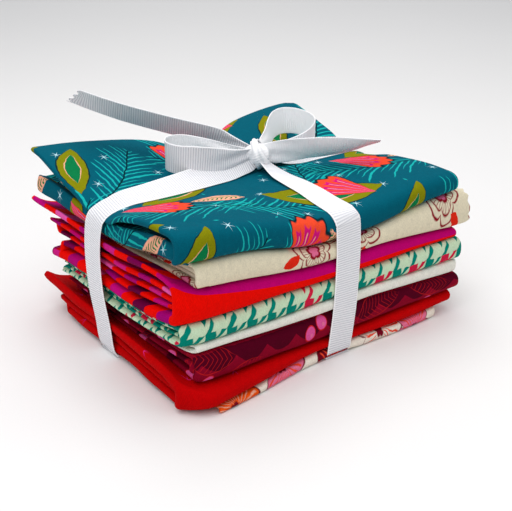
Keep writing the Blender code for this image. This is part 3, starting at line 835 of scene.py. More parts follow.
def group(name, draw, inputs, outputs):
    """A shader node group with named sockets; draw turns its input signals into its outputs."""
    tree = bpy.data.node_groups.new(name, "ShaderNodeTree")
    for label, value in inputs.items():
        kind = VALUE if isinstance(value, float) else PLACE
        socket = tree.interface.new_socket(name=label, in_out="INPUT", socket_type=kind)
        if value is not None:
            socket.default_value = value
    for label, kind in outputs.items():
        tree.interface.new_socket(name=label, in_out="OUTPUT", socket_type=kind)
    start, end = tree.nodes.new("NodeGroupInput"), tree.nodes.new("NodeGroupOutput")
    results = draw(*[Signal(tree, start.outputs[label]) for label in inputs])
    for label, result in zip(outputs, results):
        feed(tree, end.inputs[label], result)
    print("group", name, "has", len(tree.nodes), "nodes")
    return tree


def use(made, place, **values):
    """Put a group in the tree that place is in; returns its outputs."""
    tree = place.tree
    node = tree.nodes.new("ShaderNodeGroup")
    node.node_tree = made
    feed(tree, node.inputs[0], place)
    for label, value in values.items():
        feed(tree, node.inputs[label], value)
    outputs = [Signal(tree, output) for output in node.outputs]
    return outputs if len(outputs) > 1 else outputs[0]


print("socket kinds:", VALUE, PLACE)

# %% [markdown]
# A motif is drawn once round its own middle. Two groups say where it goes: one repeats a listed motif
# every tile, the other scatters it, one in each cell of a staggered grid with a chance shift and
# turn.

# %% Groups that place a motif
HALF_TURN, FULL_TURN = 3.1416, 6.2832
HALF_TILE = (0.5, 0.5, 0.0)
SEED_SHIFT = 7.3


def draw_repeat(place, centre, tile, turn):
    """The place seen from the middle of the nearest copy of a motif."""
    shift = vectors("ADD", vectors("DIVIDE", vectors("SUBTRACT", place, centre), tile), HALF_TILE)
    near = vectors("SUBTRACT", vectors("FRACTION", shift), HALF_TILE)
    return [turned(vectors("MULTIPLY", near, tile), turn)]


def turned(place, turn):
    """A place turned round the motif's middle."""
    node = place.tree.nodes.new("ShaderNodeVectorRotate")
    node.rotation_type = "Z_AXIS"
    feed(place.tree, node.inputs["Vector"], place)
    feed(place.tree, node.inputs["Angle"], turn)
    return Signal(place.tree, node.outputs[0])


def draw_scatter(place, cell, jitter, seed):
    """The place seen from a motif that lies anyhow in its cell, and the cell's random number."""
    x, y, _ = parts(place)
    row = calc("FLOOR", y / cell)
    x = x + calc("MODULO", size(row), 2.0) * cell * 0.5 + seed * SEED_SHIFT
    column = calc("FLOOR", x / cell)
    picks = parts(chance(joined(column, row, seed)))
    near_x = x - (column + 0.5) * cell - (picks[0] - 0.5) * jitter
    near_y = y - (row + 0.5) * cell - (picks[1] - 0.5) * jitter
    return [turned(joined(near_x, near_y), picks[2] * FULL_TURN), picks[0]]


REPEAT = group("motif repeat", draw_repeat,
               {"Place": None, "Centre": None, "Tile": (100.0, 100.0, 1.0), "Turn": 0.0}, {"Spot": PLACE})
SCATTER = group("motif scatter", draw_scatter,
                {"Place": None, "Cell": 20.0, "Jitter": 6.0, "Seed": 0.0}, {"Spot": PLACE, "Pick": VALUE})

# %% [markdown]
# The teal cloth carries feathery fronds: needles on both sides of a bent stem, each a little longer or
# shorter than the next. Drawing every needle as a shape would need hundreds of nodes, so the stem is cut
# into equal steps and each step holds one needle.

# %% Frond
NEEDLE_PITCH = 4.4
NEEDLE_LEAN, NEEDLE_CURVE = 1.15, 0.016
STEM_HALF = 0.42


def draw_frond(spot, length, width, bend):
    """Curved needles on both sides of a bent stem."""
    x, y, _ = parts(spot)
    off_stem = y - bend * x * x
    away = size(off_stem)
    root = x - away * NEEDLE_LEAN + away * away * NEEDLE_CURVE + calc("SIGN", off_stem) * 0.8
    needle = root / NEEDLE_PITCH
    pick = parts(chance(joined(calc("FLOOR", needle), calc("SIGN", off_stem), length)))[0]
    taper = calc("SQRT", calc("MAXIMUM", 1.0 - calc("POWER", size(root) * 2.0 / length, 2.0), 0.0))
    reach = width * 0.5 * taper * (0.42 + pick * 0.58)
    share = away / calc("MAXIMUM", reach, 0.01)
    beside = size(calc("FRACT", needle) - 0.5)
    needles = below(beside, 0.11 + pick * 0.10 - calc("POWER", share, 2.0) * 0.12, 0.07)
    needles = both(needles, below(share, 1.0, 0.08))
    stem = both(below(away, STEM_HALF, 0.25), below(size(x), length * 0.5, 0.6))
    return [needles, stem]


FROND = group("frond", draw_frond, {"Spot": None, "Length": 60.0, "Width": 26.0, "Bend": 0.004},
              {"Needles": VALUE, "Stem": VALUE})

# %% [markdown]
# The other motifs are simpler: a star with pointed arms, a pointed leaf with veins, a flower with round
# petals, and a petal that opens like a fan. Each gives back how far out a place lies in it, so that a
# print can lay an outline, a filling and a heart of its own colours over one shape.

# %% Star, leaf, bloom and fan
def draw_star(spot, radius, arms):
    """Arms that narrow from the middle to their points."""
    x, y, _ = parts(spot)
    far = vectors("LENGTH", spot)
    aside = size(calc("SINE", calc("ARCTAN2", y, x) * arms * 0.5)) * far
    return [below(aside, (1.08 - far / radius) * 0.62, 0.2)]


STAR = group("star", draw_star, {"Spot": None, "Radius": 3.0, "Arms": 6.0}, {"Star": VALUE})


def draw_leaf(spot, length, height, bend):
    """How far out a place lies in an almond: 0 on its middle line and 1 at its edge."""
    x, y, _ = parts(spot)
    body = calc("MAXIMUM", 1.0 - calc("POWER", size(x) * 2.0 / length, 2.0), 0.0001)
    off = y - bend * x * x
    share = size(off) / (height * body)
    veins = size(calc("FRACT", (x - size(off) * 0.9) / 2.6) - 0.5)
    return [share, veins]


LEAF = group("leaf", draw_leaf, {"Spot": None, "Length": 30.0, "Height": 7.0, "Bend": 0.0},
             {"Share": VALUE, "Veins": VALUE})


def draw_bloom(spot, radius, petals, dent):
    """Share of the way out to a flower's edge, and the ray that a place lies on."""
    x, y, _ = parts(spot)
    round_way = calc("ARCTAN2", y, x)
    lobe = size(calc("COSINE", round_way * petals * 0.5))
    edge = radius * (1.0 - dent + dent * calc("POWER", lobe, 0.6))
    return [vectors("LENGTH", spot) / edge, calc("FRACT", round_way * 4.0)]


BLOOM = group("bloom", draw_bloom, {"Spot": None, "Radius": 9.0, "Petals": 5.0, "Dent": 0.35},
              {"Share": VALUE, "Ray": VALUE})


def draw_fan(spot, radius, spread):
    """A petal that opens from its root: share of the way out, and the ray of a place."""
    x, y, _ = parts(spot)
    ray = calc("ARCTAN2", y, x) / spread
    edge = radius * (1.0 - 0.22 * ray * ray + 0.04 * calc("COSINE", ray * 15.0))
    return [calc("MAXIMUM", size(ray), vectors("LENGTH", spot) / edge), ray]


FAN = group("fan petal", draw_fan, {"Spot": None, "Radius": 20.0, "Spread": 0.6},
            {"Share": VALUE, "Ray": VALUE})

# %% [markdown]
# Quilting cotton is a plain weave: each thread goes over one and under the next, about 28 threads to the
# centimetre. Its yarn is thick in some places and thin in others. Two sine waves make the weave and
# stretched noise makes the yarn, and all cottons share the group, because the prints differ and the cloth
# doesn't.

# %% Weave group, shared by every cotton
THREAD = 0.36
SLUB_STRETCH = (1.0, 0.12, 1.0)


def draw_weave(place, thread):
    """Plain weave: threads that pass over and under each other, with slubs and a faint mottle."""
    x, y, _ = parts(place)
    warp = calc("SINE", x * HALF_TURN / thread)
    weft = calc("SINE", y * HALF_TURN / thread)
    over = warp * weft * 0.5 + 0.5
    slub, _ = noise(vectors("MULTIPLY", place, SLUB_STRETCH), 2.2, 3.0)
    mottle, _ = noise(place, 0.35, 3.0)
    grain, _ = noise(place, 1.5, 1.0)
    return [over * 0.7 + slub * 0.6, mottle * 0.4 + grain * 0.6]


WEAVE = group("cotton weave", draw_weave, {"Place": None, "Thread": THREAD},
              {"Height": VALUE, "Mottle": VALUE})

# %% [markdown]
# Washed cotton is matt. Shade is painted into its colour a little between the threads, and the threads
# stand up enough to break the light. Both come from the one weave, so that the painted shade and the low
# places stay together. A photograph of real cotton would bring its own light and its own folds with it.

# %% A cotton material
COTTON_SHADE, SHADE_OF_MOTTLE, PAINTED_SHADE_OF_HEIGHT = 0.56, 0.55, 0.20
COTTON_ROUGH, COTTON_SPECULAR = 0.92, 0.04
COTTON_BUMP = (0.35, 0.00012)
NOISE_MIDDLE = (0.5, 0.5, 0.5)


def cloth_place(tree):
    """The cloth coordinates in millimetres."""
    node = tree.nodes.new("ShaderNodeUVMap")
    node.uv_map = "cloth"
    return Signal(tree, node.outputs[0])


def hand_drawn(place, amount):
    """The same place, a little astray, so that printed lines look drawn by hand."""
    _, drift = noise(place, 0.16, 2.0)
    astray = vectors("MULTIPLY", vectors("SUBTRACT", drift, NOISE_MIDDLE), (amount, amount, 0.0))
    return vectors("ADD", place, astray)


def new_material(name):
    """A material with its tree and its shader."""
    material = bpy.data.materials.new(name)
    material.use_nodes = True
    return material, material.node_tree, material.node_tree.nodes["Principled BSDF"]


def raised(tree, shader, height, strength_and_distance):
    """Let a height stand up from the surface."""
    bump = tree.nodes.new("ShaderNodeBump")
    for label, value in zip(("Strength", "Distance"), strength_and_distance):
        bump.inputs[label].default_value = value
    feed(tree, bump.inputs["Height"], height)
    tree.links.new(bump.outputs[0], shader.inputs["Normal"])


def cotton(name, draw):
    """Printed cotton: draw gives the print's colour; the weave mottles it, paints shade where low and raises
    it.
    """
    material, tree, shader = new_material(name)
    place = cloth_place(tree)
    colour = draw(place)
    height, mottle = use(WEAVE, place)
    # Painted shade: the weave's height darkens the colour where the threads are low; its mottle is the yarn's
    # tone.
    shade = calc("ADD", mottle * SHADE_OF_MOTTLE + height * PAINTED_SHADE_OF_HEIGHT, COTTON_SHADE)
    feed(tree, shader.inputs["Base Color"], vectors("MULTIPLY", colour, joined(shade, shade, shade)))
    feed(tree, shader.inputs["Roughness"], calc("ADD", height * -0.08, COTTON_ROUGH))
    shader.inputs["Specular IOR Level"].default_value = COTTON_SPECULAR
    raised(tree, shader, height, COTTON_BUMP)
    print(name, "has", len(tree.nodes), "nodes")
    return material


print("threads to the centimetre:", round(10 / THREAD))

# %% [markdown]
# The table is covered with matt white paper: a faint cloudiness, and fibres that catch the light. It uses
# object coordinates, because a flat sheet has no folds that a print has to follow.

# %% Pale table paper
PAPER_ROUGH = 0.7
PAPER_BUMP = (0.15, 0.0002)
paper, paper_tree, paper_shader = new_material("table_paper")
paper_place = Signal(paper_tree, paper_tree.nodes.new("ShaderNodeTexCoord").outputs["Object"])
cloud, _ = noise(paper_place, 3.0, 3.0)
fibre, _ = noise(paper_place, 900.0, 2.0)
paper_shade = calc("ADD", cloud * 0.03 + fibre * 0.03, 0.97)
paper_colour = vectors("MULTIPLY", joined(paper_shade, paper_shade, paper_shade), FLOOR_COLOUR)
feed(paper_tree, paper_shader.inputs["Base Color"], paper_colour)
paper_shader.inputs["Roughness"].default_value = PAPER_ROUGH
raised(paper_tree, paper_shader, fibre, PAPER_BUMP)
floor_mesh.materials.append(paper)
print("floor colour:", FLOOR_COLOUR)

# %% [markdown]
# The top cloth has a deep teal ground with a crowded, hand-drawn print: fronds in a lighter teal, almond
# leaves and seeds, and fan-shaped petals in pink and coral. Each motif gets its own place, turn and size
# in a tile, because motifs that are scattered by chance leave bare patches and pile up in others.

# %% Colours and motifs of the teal print
TEAL, AQUA, DEEP = srgb(0, 88, 106), srgb(22, 172, 168), srgb(2, 42, 48)
OLIVE, GREEN, PEACH = srgb(128, 128, 8), srgb(8, 118, 66), srgb(240, 172, 142)
MAGENTA, CORAL, PALE = srgb(205, 20, 120), srgb(238, 74, 44), srgb(188, 226, 234)
TILE = (134.0, 121.0, 1.0)
Spray = namedtuple("Spray", "u v turn length width bend")
SPRAYS = (
    Spray(24, -36, 2.85, 82, 46, 0.0050),
    Spray(72, -24, -0.25, 74, 42, -0.0055),
    Spray(116, -62, 1.05, 66, 40, 0.0060),
    Spray(26, -94, 0.75, 68, 40, -0.0050),
    Spray(84, -90, 2.55, 70, 40, 0.0050),
)
Almond = namedtuple("Almond", "u v turn length height bend", defaults=(0.0,))
LEAVES = (Almond(104, -26, 2.75, 66, 12.0, 0.0040), Almond(44, -68, 0.35, 54, 10.0, -0.0040),
          Almond(8, -112, 1.2, 40, 7.5, 0.004))
SEEDS = (Almond(52, -46, 3.0, 30, 4.6), Almond(124, -96, 1.0, 26, 4.2), Almond(92, -112, 2.0, 22, 4.0))
FANS = ((128, -14, 2.2), (6, -62, -0.7), (66, -98, 1.2))


print("motifs in a teal tile:", len(SPRAYS) + len(LEAVES) + len(SEEDS) + len(FANS))

# %% [markdown]
# The print is laid over the ground from the back to the front, as ink would be: stars first, then fronds,
# leaves, seeds and fans. Every layer is mixed over the last by its mask.

# %% Teal print: stars, fronds, leaves, seeds and fans
def repeated(place, u, v, tile, turn=0.0):
    """A motif's own place, where it is placed once in every tile."""
    return use(REPEAT, place, Centre=(u, v, 0.0), Tile=tile, Turn=turn)


def draw_teal(place):
    """Fronds, leaves, seeds and fans over a ground of small stars."""
    drawn = hand_drawn(place, 2.2)
    colour = TEAL
    spot, _ = use(SCATTER, place, Cell=27.0, Jitter=12.0, Seed=3.0)
    colour = mixed(use(STAR, spot, Radius=3.1, Arms=6.0), colour, PALE)
    spot, _ = use(SCATTER, place, Cell=41.0, Jitter=20.0, Seed=8.0)
    colour = mixed(use(STAR, spot, Radius=1.5, Arms=2.0), colour, AQUA)
    for spray in SPRAYS:
        spot = repeated(drawn, spray.u, spray.v, TILE, spray.turn)
        needles, stem = use(FROND, spot, Length=spray.length, Width=spray.width, Bend=spray.bend)
        colour = mixed(stem, mixed(needles, colour, AQUA), DEEP)
    for leaf in LEAVES:
        spot = repeated(drawn, leaf.u, leaf.v, TILE, leaf.turn)
        share, _ = use(LEAF, spot, Length=leaf.length, Height=leaf.height, Bend=leaf.bend)
        colour = mixed(below(share, 1.1, 0.05), colour, DEEP)
        colour = mixed(below(share, 1.0, 0.05), colour, OLIVE)
        inner, _ = use(LEAF, spot, Length=leaf.length * 0.62, Height=leaf.height * 0.5, Bend=leaf.bend)
        colour = mixed(below(inner, 1.14, 0.05), colour, PEACH)
        colour = mixed(below(inner, 1.0, 0.05), colour, GREEN)
    for seed in SEEDS:
        spot = repeated(drawn, seed.u, seed.v, TILE, seed.turn)
        share, veins = use(LEAF, spot, Length=seed.length, Height=seed.height, Bend=seed.bend)
        colour = mixed(below(share, 1.0, 0.06), colour, PEACH)
        colour = mixed(both(below(share, 0.62, 0.08), below(0.30, veins, 0.1)), colour, GREEN)
    for u, v, turn in FANS:
        spot = repeated(drawn, u, v, TILE, turn)
        share, ray = use(FAN, spot, Radius=33.0, Spread=0.50)
        colour = mixed(below(share, 1.06, 0.03), colour, DEEP)
        colour = mixed(below(share, 1.0, 0.03), colour, CORAL)
        band = size(calc("FRACT", ray * 2.2) - 0.5)
        colour = mixed(both(below(share, 0.86, 0.03), below(band, 0.30, 0.05)), colour, MAGENTA)
        colour = mixed(both(below(share, 0.80, 0.03), below(band, 0.05, 0.04)), colour, PEACH)
    return colour


print("teal ground:", [round(value, 3) for value in TEAL])

# %% [markdown]
# The second cloth is cream with flowers in thin maroon lines, each with a ribbed leaf and a small red bud
# beside it. Only lines are drawn, as a ring is a narrow band of the share of the way out.

# %% Cream print: maroon line flowers
CREAM, MAROON = srgb(226, 216, 188), srgb(142, 14, 34)
RED_INK, PINK_INK = srgb(222, 40, 20), srgb(226, 110, 150)
CREAM_TILE = (190.0, 74.0, 1.0)
CREAM_FLOWERS = ((78, -4, 0.4), (112, -9, 1.7), (168, -8, 2.4), (30, -34, 0.9), (8, 14, 2.0), (140, -52, 0.2))
FLOWER_RINGS = ((1.0, 0.05, 0.05), (0.70, 0.035, 0.05), (0.34, 0.07, 0.06))


def ring(share, middle, half, soft):
    """A line of ink where a place is that share of the way out."""
    return below(size(share - middle), half, soft)


def draw_cream(place):
    """Line flowers with a ribbed leaf on one side and a bud on the other."""
    drawn = hand_drawn(place, 2.4)
    colour = CREAM
    for u, v, turn in CREAM_FLOWERS:
        spot = repeated(drawn, u, v, CREAM_TILE, turn)
        share, ray = use(BLOOM, spot, Radius=11.5, Petals=5.0, Dent=0.34)
        outer, middle, inner = (ring(share, *sizes) for sizes in FLOWER_RINGS)
        line = either(either(outer, middle), inner)
        rays = both(below(share, 0.66, 0.05), below(0.4, share, 0.05))
        line = either(line, both(ring(ray, 0.5, 0.10, 0.12), rays))
        colour = mixed(below(share, 0.30, 0.05), colour, PINK_INK)
        colour = mixed(line, colour, MAROON)
        side = vectors("SUBTRACT", spot, (16.5, 0.0, 0.0))
        share, veins = use(LEAF, side, Length=15.0, Height=3.6, Bend=0.012)
        rib = both(below(share, 0.95, 0.05), below(veins, 0.12, 0.1))
        colour = mixed(either(ring(share, 1.0, 0.10, 0.08), rib), colour, MAROON)
        side = vectors("ADD", spot, (15.0, 2.0, 0.0))
        share, _ = use(LEAF, side, Length=12.0, Height=2.2, Bend=-0.02)
        colour = mixed(below(share, 1.0, 0.08), colour, RED_INK)
    return colour


print("flowers in a cream tile:", len(CREAM_FLOWERS))

# %% [markdown]
# The third cloth has bold bands: every second one is red, and those between run through plums and pinks.
# The bands turn round the fold with the cloth, which is what shows that it is folded. One ramp of steps
# gives all sixteen bands.

# %% Stripes
STRIPE = 12.0
STRIPE_BOW, STRIPE_BOW_REACH, STRIPE_SHIFT = 5.0, 45.0, 0.5
STRIPE_RED = srgb(236, 8, 0)
STRIPE_OTHERS = (srgb(158, 0, 112), srgb(98, 0, 58), srgb(190, 8, 120), srgb(232, 88, 172), srgb(172, 4, 112),
                 srgb(206, 30, 130), srgb(120, 0, 74), srgb(190, 0, 108))


def draw_stripes(place):
    """Red bands with another band between each two."""
    u, v, _ = parts(place)
    v = v + calc("EXPONENT", u / -STRIPE_BOW_REACH) * STRIPE_BOW - STRIPE_SHIFT
    period = 2 * STRIPE * len(STRIPE_OTHERS)
    ramp = place.tree.nodes.new("ShaderNodeValToRGB")
    ramp.color_ramp.interpolation = "CONSTANT"
    stops = ramp.color_ramp.elements
    while len(stops) < 2 * len(STRIPE_OTHERS):
        stops.new(1.0)
    for number, other in enumerate(STRIPE_OTHERS):
        stops[2 * number].position = 2 * number * STRIPE / period
        stops[2 * number].color = (*STRIPE_RED, 1.0)
        stops[2 * number + 1].position = (2 * number + 1) * STRIPE / period
        stops[2 * number + 1].color = (*other, 1.0)
    feed(place.tree, ramp.inputs[0], calc("FRACT", v / period + 2.0))
    return Signal(place.tree, ramp.outputs[0])


print("bands before the stripes repeat:", 2 * len(STRIPE_OTHERS))

# %% [markdown]
# The fourth cloth is a brushed houndstooth. A woven one comes from four threads dark and four threads
# light in both directions, on a twill, and this rule is used here at the size of a brush stroke: warp
# where the twill is up and weft where it is down. A few teeth are red instead of green.

# %% Mint print: a brushed houndstooth
MINT, SEA, TOOTH_RED = srgb(196, 220, 186), srgb(0, 130, 112), srgb(206, 30, 66)
TOOTH = 12.0
MINT_PICK, FEW_RED = 4.0, 0.80


def draw_mint(place):
    """Teeth in two greens, with a few red ones."""
    drawn = hand_drawn(place, 2.4)
    across, along = (part / TOOTH for part in parts(drawn)[:2])
    warp = below(calc("FRACT", across), 0.5, 0.04)
    weft = below(calc("FRACT", along), 0.5, 0.04)
    twill = below(calc("FRACT", (across + along) * 2.0), 0.5, 0.08)
    tooth = warp * twill + weft * (1.0 - twill)
    pick = parts(chance(joined(calc("FLOOR", across), calc("FLOOR", along), MINT_PICK)))[0]
    ink = mixed(below(FEW_RED, pick, 0.02), SEA, TOOTH_RED)
    return mixed(tooth, MINT, ink)


print("tooth:", TOOTH, "mm of cloth")

# %% [markdown]
# Between the bright cloths lie three quiet ones. The white is plain and only a little cloudy. The
# burgundy has low waves of crimson with thin leaves and a few berries, and the red has small sprigs far
# apart. They show only as narrow edges, so their motifs are few and large enough to be seen there.

# %% White cotton
OFF_WHITE, CLOUDED = srgb(238, 236, 226), srgb(226, 224, 210)


def draw_white(place):
    """Plain white, a little warmer in places."""
    mottle, _ = noise(place, 0.05, 2.0)
    return mixed(mottle, OFF_WHITE, CLOUDED)


print("white:", [round(value, 2) for value in OFF_WHITE])

# %% [markdown]
# The burgundy cloth is dark, so its pattern is what catches the eye on the narrow edges: a lighter
# crimson in waves, leaves in thin orange-red lines and pink berries with a shine.

# %% Burgundy print: waves, leaves and berries
WINE, CRIMSON, FLAME, BERRY = srgb(80, 0, 26), srgb(136, 4, 36), srgb(206, 32, 26), srgb(222, 84, 152)
BURGUNDY_TILE = (148.0, 44.0, 1.0)
WAVE_HIGH, WAVE_WIDE, WAVE_START = 30.0, 19.0, 6.0
BURGUNDY_LEAVES = ((30, 9, 0.5), (122, -2, 0.25), (160, -4, 2.9), (68, 20, 1.2))
BERRIES = ((76, 0), (84, -3), (6, 10), (13, 6), (142, 16))


def draw_burgundy(place):
    """Waves of two dark reds, with leaves in thin lines and round berries."""
    drawn = hand_drawn(place, 1.5)
    x, y, _ = parts(drawn)
    rise = calc("FRACT", (y + WAVE_START) / WAVE_HIGH) * WAVE_HIGH
    hump = size(calc("COSINE", x * HALF_TURN / WAVE_WIDE)) * 4.5
    colour = mixed(below(rise, 3.6 + hump, 0.3), CRIMSON, WINE)
    for u, v, turn in BURGUNDY_LEAVES:
        spot = repeated(drawn, u, v, BURGUNDY_TILE, turn)
        share, veins = use(LEAF, spot, Length=34.0, Height=5.6, Bend=0.006)
        vein_lines = both(below(share, 0.9, 0.05), below(veins, 0.06, 0.08))
        line = either(ring(share, 1.0, 0.04, 0.05), vein_lines)
        colour = mixed(line * 0.7, colour, FLAME)
    for u, v in BERRIES:
        spot = repeated(drawn, u, v, BURGUNDY_TILE)
        far = vectors("LENGTH", spot)
        colour = mixed(below(far, 3.5, 0.3), colour, FLAME)
        colour = mixed(below(far, 3.0, 0.3), colour, BERRY)
        shine = vectors("LENGTH", vectors("SUBTRACT", spot, (0.9, 1.0, 0.0)))
        colour = mixed(below(shine, 0.8, 0.5), colour, PINK_INK)
    return colour


print("berries in a burgundy tile:", len(BERRIES))

# %% [markdown]
# The red cloth is nearly plain. Half stars stand for its sprigs, and slow noise makes the red uneven, as
# dye is.

# %% Red print: sprigs
RED, DEEP_RED, SPRIG = srgb(200, 1, 4), srgb(180, 0, 3), srgb(226, 50, 150)


def draw_red(place):
    """Half stars of eight arms, scattered over an uneven red."""
    spot, _ = use(SCATTER, place, Cell=23.0, Jitter=8.0, Seed=5.0)
    x, _, _ = parts(spot)
    sprig = both(use(STAR, spot, Radius=3.6, Arms=8.0), below(0.2, x, 0.3))
    deep, _ = noise(place, 0.03, 2.0)
    return mixed(sprig, mixed(deep, RED, DEEP_RED), SPRIG)


print("red:", [round(value, 2) for value in RED])

# %% [markdown]
# The bottom cloth has a pale ground with large round flowers in orange, pink and dark red. Only its front
# fold and left end show, so each flower was placed where a petal or two comes round the fold.

# %% Floral print on pale ground
PETAL_WHITE, ORANGE = srgb(240, 230, 214), srgb(234, 84, 14)
ROSE, DARK_RED = srgb(232, 116, 150), srgb(120, 6, 30)
FLORAL_TILE = (168.0, 62.0, 1.0)
TURN_BY_PLACE = 0.37
FLOWERS = ((24, 2, 15.0, ORANGE), (58, -4, 15.0, ROSE), (92, 5, 11.0, DARK_RED), (126, -2, 16.0, PETAL_WHITE),
           (152, 3, 14.0, ROSE), (40, 26, 14.0, ORANGE), (104, -28, 15.0, ROSE), (8, -26, 14.0, DARK_RED))


def draw_floral(place):
    """Round flowers with strokes of another colour and a dark heart."""
    drawn = hand_drawn(place, 3.0)
    colour = PETAL_WHITE
    for u, v, radius, shade in FLOWERS:
        spot = repeated(drawn, u, v, FLORAL_TILE, u * TURN_BY_PLACE)
        share, ray = use(BLOOM, spot, Radius=radius, Petals=5.0, Dent=0.4)
        colour = mixed(below(share, 1.07, 0.04), colour, DARK_RED)
        colour = mixed(below(share, 1.0, 0.04), colour, shade)
        stroke = both(ring(ray, 0.5, 0.16, 0.1), both(below(share, 0.92, 0.05), below(0.25, share, 0.05)))
        colour = mixed(stroke, colour, CORAL if shade != ORANGE else PEACH)
        colour = mixed(below(share, 0.2, 0.05), colour, DARK_RED)
    return colour


print("flowers in a floral tile:", len(FLOWERS))

# %% [markdown]
# Each cloth gets one cotton and one sheet. Laid flat, a sheet would be as wide as the bundle is long, with
# its folds' bulge, and as long as the path through its legs, which is printed.

# %% Fold the eight cloths
Print = namedtuple("Print", "draw slot")
PRINTS = {
    "floral": Print(draw_floral, "floral_cotton"),
    "red": Print(draw_red, "red_cotton"),
    "burgundy": Print(draw_burgundy, "burgundy_cotton"),
    "white": Print(draw_white, "white_cotton"),
    "mint": Print(draw_mint, "mint_cotton"),
    "stripe": Print(draw_stripes, "striped_cotton"),
    "cream": Print(draw_cream, "cream_cotton"),
    "teal": Print(draw_teal, "teal_cotton"),
}
COTTONS = {name: cotton(name + "_cotton", entry.draw) for name, entry in PRINTS.items()}
for number, cloth in enumerate(CLOTHS):
    name = "folded_" + cloth.name
    mesh, run = sheet_mesh(name, sheet_rows(number))
    piece = add_piece(name, mesh, COTTONS[cloth.name], "cloth_" + cloth.name)
    print(cloth.name, "sheet", round(run), "mm long,", len(mesh.polygons), "faces")

# %% [markdown]
# The ribbon is white grosgrain, 16 mm wide: a plain weave with a thick rib across it every 1.3 mm. It is
# modelled rib by rib. One ribbon goes round each way and both meet in the knot, so each turn starts and
# ends there, drawn together and tipped on its edge.

# %% Smooth path of a ribbon
RIBBON_WIDTH = 16.0
RIB_PITCH = 1.3
ROWS_A_RIB = 4
FINE_STEPS = 24
RIBBON_HALF = 0.24
RIB_RISE = 0.07
TABLE_LIFT = 0.4
Rib = namedtuple("Rib", "x y z lean width curl pleat", defaults=(0.0, RIBBON_WIDTH, 0.0, 0.0))


def between(p0, p1, p2, p3, t):
    """Smooth curve through four values, between the middle two."""
    return 0.5 * (2 * p1 + (p2 - p0) * t + (2 * p0 - 5 * p1 + 4 * p2 - p3) * t * t
                  + (3 * p1 - p0 - 3 * p2 + p3) * t ** 3)


def smooth_ribs(ribs, step):
    """The table's rows as a smooth run with one row every step millimetres."""
    table = np.array(ribs, dtype=float)
    last = len(table) - 1
    fine = []
    for number in range(last):
        around = [table[min(max(number + k, 0), last)] for k in (-1, 0, 1, 2)]
        fine.extend(between(*around, t) for t in np.linspace(0.0, 1.0, FINE_STEPS, endpoint=False))
    fine = np.array(fine + [table[-1]])
    run = np.concatenate(([0.0], np.cumsum(np.linalg.norm(np.diff(fine[:, :3], axis=0), axis=1))))
    places = np.linspace(0.0, run[-1], int(run[-1] / step) + 1)
    return np.stack([np.interp(places, run, fine[:, k]) for k in range(fine.shape[1])], 1), places


print("one rib every", RIB_PITCH, "mm, in", ROWS_A_RIB, "rows")

# %% [markdown]
# Across the ribbon the thickness runs from edge to edge: nothing at the rim, a thicker selvedge beside
# it, and the body between. Along the ribbon each rib swells and sinks. A row can tip, hollow and pleat,
# which is all that a ribbon does when it is pulled into a knot.

# %% Ribbon rows
EDGE_PLACES = (0.95, 0.985, 1.0)
BODY_PLACES = np.linspace(-0.84, 0.84, 11)
PLACES_ACROSS = np.concatenate((-np.array(EDGE_PLACES[::-1]), BODY_PLACES, EDGE_PLACES))
DEPTH_ACROSS = np.concatenate(((0.0, 0.9, 1.25), np.full(11, 0.9), (1.25, 0.9, 0.0)))
PINKED_TEETH = np.where(np.arange(17) % 4 < 2, 0.9, -0.9)
PINKED_REACH = 12.0
PLEAT_TURN, PLEAT_DRIFT = 5.2, 0.16


def unit(arrows):
    """Arrows made one long."""
    return arrows / np.linalg.norm(arrows, axis=1)[:, None]


def ribbon_rows(ribs, hint=None, slant=0.0):
    """Rows of a ribbon along a table of ribs.

    lean tips the edge that faces hint, curl hollows the middle and pleat gathers it lengthwise. slant is how
    far one corner of a pinked end reaches past the other."""
    path, places = smooth_ribs(ribs, RIB_PITCH / ROWS_A_RIB)
    run = unit(np.gradient(path[:, :3], axis=0))
    if hint is None:
        side = np.stack((-run[:, 1], run[:, 0], np.zeros(len(run))), 1)
    else:
        side = np.array(hint) - run * (run @ np.array(hint))[:, None]
    side = unit(side)
    normal = np.cross(side, run)
    lean = np.radians(path[:, 3])[:, None]
    across = side * np.cos(lean) + normal * np.sin(lean)
    normal = np.cross(across, run)
    to_end = np.clip(1.0 - (places[-1] - places) / PINKED_REACH, 0.0, 1.0) ** 2 if slant else 0.0 * places
    rise = RIB_RISE * np.cos(2 * math.pi * places / RIB_PITCH)
    rows = []
    for number, place in enumerate(path):
        half_width, curl, pleat = place[4] / 2, place[5], place[6]
        gather = pleat * np.cos(PLACES_ACROSS * PLEAT_TURN + PLEAT_DRIFT * places[number])
        hollow = curl * (PLACES_ACROSS ** 2 - 1.0) + gather
        pinked = to_end[number] * (PINKED_TEETH * to_end[number] ** 4 - slant * PLACES_ACROSS / 2)
        middle = (place[:3] + across[number] * (PLACES_ACROSS * half_width)[:, None]
                  + normal[number] * hollow[:, None] + run[number] * pinked[:, None])
        middle[:, 2] = np.maximum(middle[:, 2], TABLE_LIFT)
        thick = normal[number] * (DEPTH_ACROSS * (RIBBON_HALF + rise[number]))[:, None]
        rows.append(Row(middle + thick, middle - thick, PLACES_ACROSS * RIBBON_WIDTH / 2))
    return rows


print("rows of 10 mm of ribbon:", len(ribbon_rows([Rib(x, 0.0, 1.0) for x in (0.0, 5.0, 10.0)])))

# %% [markdown]
# The turns press into the cloths, so their height on top comes from the height of the top cloth itself,
# and on the front from its fold. Left of the knot the lengthwise turn is pulled askew and stands half on
# its edge, as it does in the photograph. Below the bundle both turns lie flat, and where they cross, one
# passes over the other.

# %% Where a turn touches the cloth
ON_CLOTH = 0.35


def over_top(x, y, lift=ON_CLOTH):
    """Height of the ribbon's middle where it lies on the top cloth."""
    return float(face_height(8, np.array(float(x)), np.array(float(y)))) - LAYER_GAP / 2 + lift


